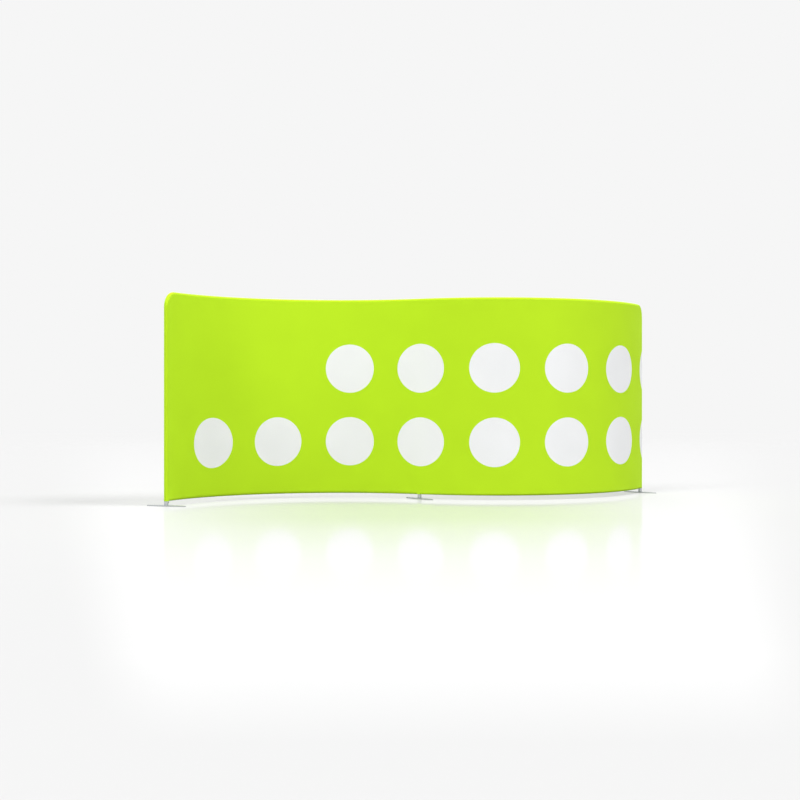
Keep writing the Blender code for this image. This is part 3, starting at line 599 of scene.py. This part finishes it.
def cover_panel(name, side):
    """Half of the cover: its face, rolled round the frame to the seam, and its hem."""
    form = bmesh.new()
    layer = form.verts.layers.float_vector.new("cloth_place")
    angles = [radians(a) for a in ROLL_ANGLES]

    def vertex(s, n, z, u, v):
        made = form.verts.new((s, -side * n, z))
        made[layer] = (u if side == FRONT else 2 * SEAM_U - u, v, 0)
        return made

    def face(*corners):
        form.faces.new(corners if side == FRONT else corners[::-1])

    def roll(s, z, out, radius=COVER_FACE, fall=0.0):
        """Points from the seam to the face, round the tube at one place."""
        made = []
        for a in angles:
            dip = SEAM_DIP * (1 - ease(a / SEAM_DIP_ANGLE))
            reach = (radius - dip) * cos(a)
            n = max((radius - dip) * sin(a), CLOTH / 4)
            over = COVER_FACE * (pi / 2 - a)
            made.append(vertex(s + out[0] * reach, n, z + out[1] * reach,
                               s + out[0] * over, z + out[1] * over - fall))
        return made

    def join(first, second):
        for k in range(len(first) - 1):
            face(first[k], first[k + 1], second[k + 1], second[k])

    columns = []
    ribs = cover_ribs()
    tops = [roll(*rib) for rib in ribs]
    for (s, z_top, _), top in zip(ribs, tops):
        hem = hem_profile(s)
        waist = hem[0][1]
        column = [top[-1]]
        for k in range(1, FACE_ROWS):
            share = (1 - cos(pi * k / FACE_ROWS)) / 2
            z = z_top + (waist - z_top) * share
            high = (RAIL_TOP_Z - z) / (RAIL_TOP_Z - FLOOR_CLEARANCE)
            fade = ease(min(share, 1 - share) / FOLD_FADE)
            n = COVER_FACE + drawn_in(s, side) * 4 * high * (1 - high) + tension_folds(s, z) * fade
            column.append(vertex(s, n, z, s, z))
        down = 0.0
        for k, (n, z) in enumerate(hem):
            if k:
                down += hypot(n - hem[k - 1][0], z - hem[k - 1][1])
            column.append(vertex(s, n, z, s, waist - down))
        columns.append(column)
    for i in range(len(ribs) - 1):
        join(tops[i], tops[i + 1])
        join(columns[i], columns[i + 1])
    for hand, end in ((-1, 0), (1, len(ribs) - 1)):
        rows = [tops[end]]
        for k, below in enumerate(columns[end][1:], 1):
            radius = -side * below.co.y if k >= FACE_ROWS else COVER_FACE
            fall = below.co.z - below[layer].y
            rows.append(roll(hand * ARC_LENGTH, below.co.z, (hand, 0), radius, fall)[:-1] + [below])
        for above, below in zip(rows, rows[1:]):
            if hand < 0:
                join(below, above)
            else:
                join(above, below)
    bmesh.ops.delete(form, geom=[v for v in form.verts if not v.link_faces], context="VERTS")
    chart = form.loops.layers.uv.new("cloth")
    for flat in form.faces:
        flat.smooth = True
        for loop in flat.loops:
            loop[chart].uv = loop.vert[layer].xy
    form.verts.layers.float_vector.remove(layer)
    mesh = bpy.data.meshes.new(name)
    put_back(form, mesh)
    piece = shown(name, mesh)
    cloth = piece.modifiers.new("cloth", "SOLIDIFY")
    cloth.thickness = CLOTH
    cloth.offset = -1
    return bend(piece, BENT, KNIT)


def path_mesh(name, lines):
    """A mesh of open lines of (s, n, z) points for stitches or teeth to follow."""
    mesh = bpy.data.meshes.new(name)
    points = []
    edges = []
    for line in lines:
        first = len(points)
        points += [(s, -n, z) for s, n, z in line]
        edges += [(first + k, first + k + 1) for k in range(len(line) - 1)]
    mesh.from_pydata(points, edges, [])
    return shown(name, mesh)


def steps(start, end, step):
    count = max(1, round(abs(end - start) / step))
    return [start + (end - start) * i / count for i in range(count + 1)]


def seam_line(side):
    """Line of stitches beside the seam, up one side, over the top and down the other."""
    a = SEAM_STITCH_OFFSET / COVER_FACE
    reach = (COVER_FACE + THREAD_RADIUS / 3) * cos(a)
    n = side * (COVER_FACE + THREAD_RADIUS / 3) * sin(a)
    low = RAIL_TOP_Z - CORNER_BEND
    foot = FLOOR_CLEARANCE + THREAD_RADIUS
    line = [(-ARC_LENGTH - reach, n, z) for z in steps(foot, low, PATH_STEP)]
    bend_reach = CORNER_BEND + reach
    turns = [pi / 2 * i / CORNER_STEPS for i in range(1, CORNER_STEPS)]
    edge = ARC_LENGTH - CORNER_BEND
    line += [(-edge - bend_reach * cos(t), n, low + bend_reach * sin(t)) for t in turns]
    line += [(s, n, RAIL_TOP_Z + reach) for s in steps(-edge, edge, PATH_STEP)]
    line += [(edge + bend_reach * sin(t), n, low + bend_reach * cos(t)) for t in turns]
    line += [(ARC_LENGTH + reach, n, z) for z in steps(low, foot, PATH_STEP)]
    return line


def stitches(name, lines):
    piece = bend(path_mesh(name, lines), STITCHES, THREAD, pitch=STITCH_PITCH,
                 stitch_length=STITCH_LENGTH, thread_radius=THREAD_RADIUS)
    piece.data.shade_smooth()
    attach(piece, "frame")
    return piece


def cover():
    """Both panels, their seam and hem stitches."""
    edge = ARC_LENGTH - SLIT
    seam = stitches("edge_seam_stitches", [seam_line(FRONT), seam_line(BACK)])
    for name, node, side in (("front_cloth", "front_cover", FRONT),
                             ("back_cloth", "back_cover", BACK)):
        panel = cover_panel(name, side)
        rows = []
        for height in HEM_STITCH_HEIGHTS:
            z = FLOOR_CLEARANCE + HEM_RISE + height
            for hand in SIDES.values():
                rows.append([(s, side * (COVER_FACE + THREAD_RADIUS / 3), z)
                             for s in steps(hand * SLIT, hand * edge, PATH_STEP)])
        hem = stitches(name + "_hem_stitches", rows)
        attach(panel, "frame")
        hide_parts(node)


# Zips
def zip_tape(name, node, hand, side):
    """Flat woven tape under the bottom rail, one edge at the teeth."""
    mesh = bpy.data.meshes.new(name)
    run = steps(SLIT, ARC_LENGTH - SLIT, COLUMN_COARSE)
    widths = (TAPE_EDGE, TAPE_EDGE + TAPE_WIDTH / 2, TAPE_EDGE + TAPE_WIDTH)
    points = [(hand * u, -side * n, TAPE_Z) for u in run for n in widths]
    faces = []
    for i in range(len(run) - 1):
        for k in (0, 1):
            a = 3 * i + k
            quad = (a, a + 1, a + 4, a + 3)
            faces.append(quad if hand * side < 0 else quad[::-1])
    mesh.from_pydata(points, [], faces)
    chart = mesh.uv_layers.new(name="cloth")
    for loop in mesh.loops:
        place = mesh.vertices[loop.vertex_index].co
        chart.data[loop.index].uv = (place.x, place.y)
    piece = shown(name, mesh)
    sheet = piece.modifiers.new("sheet", "SOLIDIFY")
    sheet.thickness = TAPE
    sheet.offset = -1
    piece = bend(piece, BENT, TAPE_WEAVE)
    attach(piece, "frame")
    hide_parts(node)
    return piece


def zips():
    """Tapes and teeth of both zips."""
    for side_name, hand in SIDES.items():
        line = [(hand * u, 0, TAPE_Z + TAPE / 2) for u in steps(SLIT, ARC_LENGTH - SLIT, PATH_STEP)]
        teeth = bend(path_mesh(side_name + "_zip_teeth", [line]), TEETH, ACETAL,
                     pitch=TOOTH_PITCH / 2, tooth_length=TOOTH_SIZE[0],
                     tooth_width=TOOTH_SIZE[1], tooth_height=TOOTH_SIZE[2])
        teeth.data.shade_smooth()
        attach(teeth, "frame")
        for tape, side in (("front", FRONT), ("back", BACK)):
            node = f"{side_name}_zip_{tape}_tape"
            piece = zip_tape(node + "_weave", node, hand, side)


# Frame
def bar(name, places, radii):
    """A round bar along (s, z) places, before the bend."""
    data = bpy.data.curves.new(name, "CURVE")
    data.dimensions = "3D"
    data.bevel_depth = TUBE_RADIUS
    data.bevel_resolution = TUBE_SIDES // 2 - 2
    data.use_fill_caps = True
    spline = data.splines.new("POLY")
    spline.points.add(len(places) - 1)
    for point, (s, z), radius in zip(spline.points, places, radii):
        point.co = (s, 0, z, 1)
        point.radius = radius / TUBE_RADIUS
    piece = finished(shown(name, data))
    form = edit(piece.data)
    bmesh.ops.remove_doubles(form, verts=form.verts, dist=FIT_GAP / 10)
    bmesh.ops.recalc_face_normals(form, faces=form.faces)
    put_back(form, piece.data)
    return piece


def combine(target, operand, operation):
    modifier = target.modifiers.new(operation.lower(), "BOOLEAN")
    modifier.operation = operation
    modifier.solver = "EXACT"
    modifier.object = operand
    finished(target)
    bpy.data.objects.remove(operand)


def swaged(run, z, narrow_end):
    """Places and radii of a rail; with narrow_end its last stretch is swaged."""
    places = [(s, z) for s in run]
    radii = [TUBE_RADIUS] * len(run)
    if narrow_end:
        sign = 1 if run[-1] > run[0] else -1
        places += [(run[-1] + sign * d, z) for d in (SWAGE_TAPER, SWAGE_LENGTH / 2, SWAGE_LENGTH)]
        radii += [SWAGE_RADIUS] * 3
    return places, radii


def hole_spots():
    """Place, outward direction and tubes of every snap button and saddle pin."""
    half = SWAGE_LENGTH / 2
    joint = POST_JOINT_Z + half
    # The posts' buttons follow the solids' end facets, which lean off the true arc
    along, aside = cos(FACET / ARC_RADIUS / 2), sin(FACET / ARC_RADIUS / 2)
    spots = [(0, joint, (along, aside, 0), ("centre_post_lower", "centre_post_upper"))]
    for side_name, hand in SIDES.items():
        post = side_name + "_post_"
        top = f"top_rail_{side_name}_"
        low = f"bottom_rail_{side_name}_"
        spots += [(hand * ARC_LENGTH, joint, (-hand * along, hand * aside, 0),
                   (post + "lower", post + "upper"))]
        spots += [(hand * u, RAIL_TOP_Z, (0, 0, -1), tubes) for u, tubes in (
            (CORNER_JOINT - half, (post + "upper", top + "outer_tube")),
            (RAIL_JOINT - half, (top + "outer_tube", top + "inner_tube")),
            (TEE_HALF + half, ("centre_post_upper", top + "inner_tube")),
            (SPREADER, (top + "inner_tube",)))]
        spots += [(hand * u, RAIL_BOTTOM_Z, (0, 0, 1), tubes) for u, tubes in (
            (ARC_LENGTH - TUBE_RADIUS - half, (post + "lower", low + "outer_tube")),
            (RAIL_JOINT - half, (low + "outer_tube", low + "inner_tube")),
            (TUBE_RADIUS + half, ("centre_post_lower", low + "inner_tube")),
            (SPREADER, (low + "inner_tube",)))]
    return spots


def facet_sag(s):
    """How far inside the true arc the solids' straight facets lie."""
    share = abs(s) % FACET
    return copysign(share * (FACET - share) / 2 / ARC_RADIUS, s)


def drill(tube, name):
    """Cut a tube's holes through the near wall."""
    form = bmesh.new()
    for s, z, direction, tubes in hole_spots():
        if name in tubes:
            out = Vector(direction)
            place = Matrix.Translation(Vector((s, facet_sag(s), z)) + out * TUBE_RADIUS)
            bmesh.ops.create_cone(form, cap_ends=True, segments=HOLE_SIDES, radius1=HOLE_RADIUS,
                                  radius2=HOLE_RADIUS, depth=TUBE_RADIUS,
                                  matrix=place @ out.to_track_quat("Z", "Y").to_matrix().to_4x4())
    cutter = shown(name + "_holes", bpy.data.meshes.new(name + "_holes"))
    put_back(form, cutter.data)
    combine(tube, cutter, "DIFFERENCE")


def frame_tube(name, node, branches):
    """A hollow tube with its welded branches, each given as places and radii."""
    outer = [bar(f"{name}_{i}", *branch) for i, branch in enumerate(branches)]
    inner = []
    for i, (places, radii) in enumerate(branches):
        first, second, last, before = (Vector(places[k]) for k in (0, 1, -1, -2))
        start = first + (first - second).normalized() * TUBE_WALL
        end = last + (last - before).normalized() * TUBE_WALL
        if i:
            start = first
        places = [tuple(start)] + places[1:-1] + [tuple(end)]
        inner.append(bar(f"{name}_bore_{i}", places, [r - TUBE_WALL for r in radii]))
    for piece in outer[1:]:
        combine(outer[0], piece, "UNION")
    for piece in inner:
        combine(outer[0], piece, "DIFFERENCE")
    piece = outer[0]
    drill(piece, name)
    piece.name = name
    smooth(piece.data)
    piece = bend(piece, BENT, TUBE)
    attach(piece, "frame")
    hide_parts(node)


def frame_tubes():
    """Posts and rails as smooth tube on the true arcs."""
    joint = POST_JOINT_Z
    for side_name, hand in POSTS.items():
        s = hand * ARC_LENGTH
        post = [(s, POST_FOOT_Z), (s, joint), (s, joint + SWAGE_TAPER), (s, joint + SWAGE_LENGTH)]
        branches = [(post, [TUBE_RADIUS, TUBE_RADIUS, SWAGE_RADIUS, SWAGE_RADIUS])]
        for way in ((1, -1) if hand == 0 else (-hand,)):
            stub = [(s, RAIL_BOTTOM_Z), (s + way * (TUBE_RADIUS + SWAGE_LENGTH), RAIL_BOTTOM_Z)]
            branches.append((stub, [SWAGE_RADIUS] * 2))
        frame_tube(side_name + "_post_lower", side_name + "_upright_lower", branches)
    low = joint + SWAGE_TAPER
    neck = RAIL_TOP_Z - SWAGE_LENGTH
    reach = TEE_HALF + SWAGE_LENGTH
    tee = [(-reach, RAIL_TOP_Z), (-TEE_HALF - SWAGE_TAPER, RAIL_TOP_Z), (-TEE_HALF, RAIL_TOP_Z),
           (TEE_HALF, RAIL_TOP_Z), (TEE_HALF + SWAGE_TAPER, RAIL_TOP_Z), (reach, RAIL_TOP_Z)]
    tee_radii = [SWAGE_RADIUS] * 2 + [TUBE_RADIUS] * 2 + [SWAGE_RADIUS] * 2
    post = [(0, RAIL_TOP_Z), (0, neck + SWAGE_TAPER), (0, neck), (0, low)]
    frame_tube("centre_post_upper", "centre_upright_upper",
               [(tee, tee_radii), (post, [SWAGE_RADIUS] * 2 + [TUBE_RADIUS] * 2)])
    for side_name, hand in SIDES.items():
        bend_z = RAIL_TOP_Z - CORNER_BEND
        corner = [(hand * (ARC_LENGTH - CORNER_BEND * (1 - cos(a))), bend_z + CORNER_BEND * sin(a))
                  for a in (pi / 2 * i / CORNER_STEPS for i in range(CORNER_STEPS + 1))]
        run = steps(corner[-1][0], hand * CORNER_JOINT, TUBE_STEP)[1:]
        places, radii = swaged(run, RAIL_TOP_Z, True)
        places = [(hand * ARC_LENGTH, low)] + corner + places
        radii = [TUBE_RADIUS] * (len(corner) + 1) + radii
        frame_tube(side_name + "_post_upper", side_name + "_upright_upper", [(places, radii)])
        ends = {"top": (CORNER_JOINT - SWAGE_TAPER, TEE_HALF + SWAGE_TAPER, RAIL_TOP_Z),
                "bottom": (ARC_LENGTH - TUBE_RADIUS, TUBE_RADIUS, RAIL_BOTTOM_Z)}
        for level, (far, near, z) in ends.items():
            for part, start, end, narrow in (("outer", far, RAIL_JOINT, True),
                                             ("inner", RAIL_JOINT - SWAGE_TAPER, near, False)):
                run = steps(hand * start, hand * end, TUBE_STEP)
                frame_tube(f"{level}_rail_{side_name}_{part}_tube",
                           f"{level}_rail_{side_name}_{part}", [swaged(run, z, narrow)])


# Feet
def plate_outline():
    """Long oval drawn in to soft points at both ends."""
    points = []
    for i in range(PLATE_POINTS):
        a = 2 * pi * i / PLATE_POINTS
        x = abs(cos(a)) ** (2 / PLATE_FORM) * (1 if cos(a) > 0 else -1)
        y = abs(sin(a)) ** (2 / PLATE_FORM) * (1 if sin(a) > 0 else -1)
        points.append((x * PLATE_LENGTH / 2, y * PLATE_WIDTH / 2))
    return points


def whole(name, form, place, finish):
    """A piece from a finished form, set in its place."""
    mesh = bpy.data.meshes.new(name)
    put_back(form, mesh)
    mesh.transform(place)
    mesh.materials.append(finish)
    smooth(mesh)
    return shown(name, mesh)


def feet():
    """Base plates with their pegs."""
    for side_name, hand in POSTS.items():
        base = Matrix.Translation((hand * ARC_CHORD, 0, 0))
        form = bmesh.new()
        rim = [form.verts.new((x, y, 0)) for x, y in plate_outline()]
        flat = form.faces.new(rim)
        lifted = bmesh.ops.extrude_face_region(form, geom=[flat])["geom"]
        top = [v for v in lifted if isinstance(v, bmesh.types.BMVert)]
        bmesh.ops.translate(form, verts=top, vec=(0, 0, PLATE_THICKNESS))
        bmesh.ops.recalc_face_normals(form, faces=form.faces)
        edges = [e for e in form.edges if abs(e.verts[0].co.z - e.verts[1].co.z) < FIT_GAP]
        bmesh.ops.bevel(form, geom=edges, offset=PLATE_CHAMFER, segments=3, profile=0.5,
                        affect="EDGES")
        turned = base @ Matrix.Rotation(PLATE_HEADING[side_name], 4, "Z")
        plate = whole(side_name + "_plate", form, turned, COATED)
        foot_z = PLATE_THICKNESS + FIT_GAP
        edge = PEG_CHAMFER / 4
        profile = [(0, foot_z), (TUBE_RADIUS - edge, foot_z), (TUBE_RADIUS, foot_z + edge),
                   (TUBE_RADIUS, foot_z + PEG_COLLAR - edge),
                   (TUBE_RADIUS - edge, foot_z + PEG_COLLAR),
                   (PEG_RADIUS, foot_z + PEG_COLLAR),
                   (PEG_RADIUS, foot_z + PEG_COLLAR + PEG_LENGTH - PEG_CHAMFER),
                   (PEG_RADIUS - PEG_CHAMFER, foot_z + PEG_COLLAR + PEG_LENGTH),
                   (0, foot_z + PEG_COLLAR + PEG_LENGTH)]
        form = bmesh.new()
        line = [form.verts.new((r, 0, z)) for r, z in profile]
        edges = [form.edges.new(pair) for pair in zip(line, line[1:])]
        bmesh.ops.spin(form, geom=line + edges, cent=(0, 0, 0), axis=(0, 0, 1), angle=2 * pi,
                       steps=TUBE_SIDES, use_merge=True)
        bmesh.ops.remove_doubles(form, verts=form.verts, dist=FIT_GAP / 10)
        bmesh.ops.recalc_face_normals(form, faces=form.faces)
        peg = whole(side_name + "_peg", form, base, TURNED)
        for piece, node, slot in ((plate, "_base_plate", "plate_steel"),
                                  (peg, "_post_peg", "peg_aluminium")):
            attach(piece, side_name + "_foot")
            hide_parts(side_name + node)


def carried_over():
    """Finishes for the solids that stay as they are."""
    for name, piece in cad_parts.items():
        for ending, finish in (("_button", SPRING), ("_saddle", NYLON), ("_slider", ZINC),
                               ("_pull", ZINC), ("_spreader_lower", TUBE),
                               ("_spreader_upper", TUBE)):
            if name.endswith(ending):
                piece.data.materials.clear()
                piece.data.materials.append(finish)


# Room
CAMERA_PLACE = (-5.886, -14.451, 1.156)
CAMERA_AHEAD = (0.3636, 0.9316, 0.0)
CAMERA_ASIDE = (0.9316, -0.3636, 0.0)
CAMERA_LENS = 60.0
BACKDROP = "F6F6F6"
FLOOR_HALF = 300.0
# Grey of the floor as it is seen, and the darker one that lights the underside of the hem
FLOOR_SHADE = 0.33
FLOOR_BOUNCE = 0.16
FLOOR_ROUGHNESS = 0.09
# Painted glow of the floor for the eye, outside and inside the painted pool of white light
FLOOR_GLOW = (0.340, 0.458)
# Share of painted white light in the floor against the distance ahead of the photograph's camera
FLOOR_LIGHT_POOL = ((4.5, 0.0), (4.85, 0.25), (5.2, 0.5), (6.0, 1.0), (12.8, 1.0), (14.0, 0.9),
               (15.3, 0.75), (18.0, 0.45), (22.0, 0.35), (38.0, 0.1), (48.0, 0.0))
FLOOR_FAR = 50.0
# Places aside, as a share of the distance ahead, where that painted light ends and where it is full
FLOOR_LIGHT_POOL_SIDES = (0.285, 0.205)
# Strength of the floor's reflection against the distance from the middle of the wall
FLOOR_GLOSS = ((0.0, 0.39), (1.4, 0.405), (2.4, 0.415), (2.84, 0.39), (3.3, 0.345), (3.84, 0.288),
               (4.66, 0.228), (5.4, 0.155), (6.0, 0.11), (6.6, 0.085), (7.1, 0.06), (7.55, 0.045),
               (8.2, 0.02), (9.5, 0.0))
FLOOR_GLOSS_END = 9.5
FLOOR_GLOSS_WIDTH = 4.6
# Distances over which the floor becomes the plain backdrop
FLOOR_MELT = (16.0, 34.0)
SKY = 0.65
# Direction to each lamp, its width in degrees and its strength. The fill is there for the back
LAMPS = {"front_left_lamp": ((-0.640, -0.400, 0.656), 22, 2.10),
         "front_right_lamp": ((0.520, -0.378, 0.766), 26, 2.08),
         "rear_lamp": ((0.25, 0.50, 0.83), 30, 0.40),
         "back_fill_lamp": ((0.12, 0.94, 0.32), 40, 0.70)}
SOFTBOX_PLACE = (-1.0, -4.0, 4.9)
SOFTBOX_AIM = (0.0, 0.0, 1.2)
SOFTBOX_SIZE = (7.0, 2.5)
SOFTBOX_POWER = 23.0


def ramp(tree, value, stops, end):
    """A curve of grey values given as (distance, value) stops."""
    share = maths(tree, "DIVIDE", value, end)
    made = add_node(tree, "ShaderNodeValToRGB", {0: share})
    line = made.color_ramp.elements
    while len(line) < len(stops):
        line.new(1.0)
    for element, (place, grey) in zip(line, stops):
        element.position = place / end
        element.color = (grey, grey, grey, 1)
    return made


def floor_material():
    """Pale studio floor: a soft painted pool of white light that fades to the backdrop, with a
    sheen of lacquer.
    """
    material = bpy.data.materials.new("pale_studio_floor")
    material.use_nodes = True
    tree = material.node_tree
    tree.nodes.clear()
    place = add_node(tree, "ShaderNodeTexCoord").outputs["Object"]
    ahead = add_node(tree, "ShaderNodeVectorMath", {0: place, 1: CAMERA_AHEAD},
                     operation="DOT_PRODUCT").outputs["Value"]
    aside = add_node(tree, "ShaderNodeVectorMath", {0: place, 1: CAMERA_ASIDE},
                     operation="DOT_PRODUCT").outputs["Value"]
    aside = maths(tree, "ABSOLUTE", aside)
    start = -Vector(CAMERA_PLACE).dot(Vector(CAMERA_AHEAD))
    depth = maths(tree, "ADD", ahead, start)
    spread = maths(tree, "DIVIDE", aside, depth)
    middle = ranged(tree, spread, *FLOOR_LIGHT_POOL_SIDES, interpolation_type="SMOOTHSTEP")
    # Painted light: the floor glows brighter inside a soft pool ahead of the camera
    light_pool = ramp(tree, depth, FLOOR_LIGHT_POOL, FLOOR_FAR)
    light_pool = maths(tree, "MULTIPLY", light_pool, middle)
    away = maths(tree, "ABSOLUTE", ahead)
    gloss = ramp(tree, away, FLOOR_GLOSS, FLOOR_GLOSS_END)
    narrow = ranged(tree, aside, FLOOR_GLOSS_WIDTH, 0.0, interpolation_type="SMOOTHERSTEP")
    gloss = maths(tree, "MULTIPLY", gloss, narrow)
    rays = add_node(tree, "ShaderNodeLightPath")
    gloss = maths(tree, "MULTIPLY", gloss, rays.outputs["Is Camera Ray"])
    seen = maths(tree, "MAXIMUM", rays.outputs["Is Camera Ray"], rays.outputs["Is Glossy Ray"])
    glow = ranged(tree, light_pool, 0.0, 1.0, *FLOOR_GLOW)
    glow = maths(tree, "MULTIPLY", glow, seen)
    shade = ranged(tree, seen, 0.0, 1.0, FLOOR_BOUNCE, FLOOR_SHADE)
    matt = add_node(tree, "ShaderNodeBsdfDiffuse", {"Color": shade})
    lift = add_node(tree, "ShaderNodeEmission", {"Strength": glow})
    lit = add_node(tree, "ShaderNodeAddShader", {0: matt, 1: lift})
    mirror = add_node(tree, "ShaderNodeBsdfAnisotropic",
                      {"Color": (1, 1, 1, 1), "Roughness": FLOOR_ROUGHNESS})
    near = add_node(tree, "ShaderNodeMixShader", {0: gloss, 1: lit, 2: mirror})
    distance = add_node(tree, "ShaderNodeVectorMath", {0: place}, operation="LENGTH")
    melt = ranged(tree, distance.outputs["Value"], *FLOOR_MELT, interpolation_type="SMOOTHSTEP")
    plain = add_node(tree, "ShaderNodeEmission", {"Color": srgb(BACKDROP)})
    mix = add_node(tree, "ShaderNodeMixShader", {0: melt, 1: near, 2: plain})
    add_node(tree, "ShaderNodeOutputMaterial", {"Surface": mix})
    return material


def sun(name, toward, spread, strength):
    """A far, wide source, which lights wall and floor evenly and leaves soft shadows."""
    light = bpy.data.lights.new(name, "SUN")
    light.angle = radians(spread)
    light.energy = strength
    lamp = bpy.data.objects.new(name, light)
    bpy.context.scene.collection.objects.link(lamp)
    lamp.rotation_euler = Vector(toward).to_track_quat("Z", "Y").to_euler()


def room():
    """Camera, floor, sky and lamps."""
    scene = bpy.context.scene
    lens = bpy.data.cameras.new("camera")
    lens.lens = CAMERA_LENS
    lens.sensor_width = 36.0
    lens.sensor_fit = "AUTO"
    lens.clip_end = 1000.0
    camera = bpy.data.objects.new("camera", lens)
    scene.collection.objects.link(camera)
    camera.location = CAMERA_PLACE
    camera.rotation_euler = Vector(CAMERA_AHEAD).to_track_quat("-Z", "Y").to_euler()
    scene.camera = camera
    mesh = bpy.data.meshes.new("studio_floor")
    reach = FLOOR_HALF
    low = -FIT_GAP
    mesh.from_pydata([(-reach, -reach, low), (reach, -reach, low), (reach, reach, low),
                      (-reach, reach, low)], [], [(0, 1, 2, 3)])
    mesh.materials.append(floor_material())
    shown("studio_floor", mesh)
    world = bpy.data.worlds.new("studio")
    scene.world = world
    world.use_nodes = True
    tree = world.node_tree
    tree.nodes.clear()
    rays = add_node(tree, "ShaderNodeLightPath")
    seen = maths(tree, "MAXIMUM", rays.outputs["Is Camera Ray"], rays.outputs["Is Glossy Ray"])
    seen = maths(tree, "MAXIMUM", seen, rays.outputs["Is Transmission Ray"])
    light = add_node(tree, "ShaderNodeBackground", {"Color": (1, 1, 1, 1), "Strength": SKY})
    plain = add_node(tree, "ShaderNodeBackground", {"Color": srgb(BACKDROP), "Strength": 1.0})
    both = add_node(tree, "ShaderNodeMixShader", {0: seen, 1: light, 2: plain})
    add_node(tree, "ShaderNodeOutputWorld", {"Surface": both})
    for name, (toward, spread, strength) in LAMPS.items():
        sun(name, toward, spread, strength)
    bpy.data.objects["back_fill_lamp"].visible_glossy = False
    light = bpy.data.lights.new("front_softbox", "AREA")
    light.shape = "RECTANGLE"
    light.size, light.size_y = SOFTBOX_SIZE
    light.energy = SOFTBOX_POWER
    lamp = bpy.data.objects.new("front_softbox", light)
    scene.collection.objects.link(lamp)
    lamp.location = SOFTBOX_PLACE
    aim = Vector(SOFTBOX_AIM) - Vector(SOFTBOX_PLACE)
    lamp.rotation_euler = aim.to_track_quat("-Z", "Y").to_euler()
    lamp.visible_camera = False
    scene.view_settings.view_transform = "Standard"


KNIT = printed_knit()
TUBE = anodised_tube()
TURNED = turned_aluminium()
COATED = powder_coat()
SPRING = spring_steel()
NYLON = moulded_nylon()
TAPE_WEAVE = woven_tape()
THREAD = sewing_thread()
ACETAL = moulded_acetal()
ZINC = plated_zinc()
BEND = bend_group()
BENT = bent_tree()
STITCHES = stitch_tree()
TEETH = teeth_tree()
room()
cover()
zips()
frame_tubes()
feet()
carried_over()
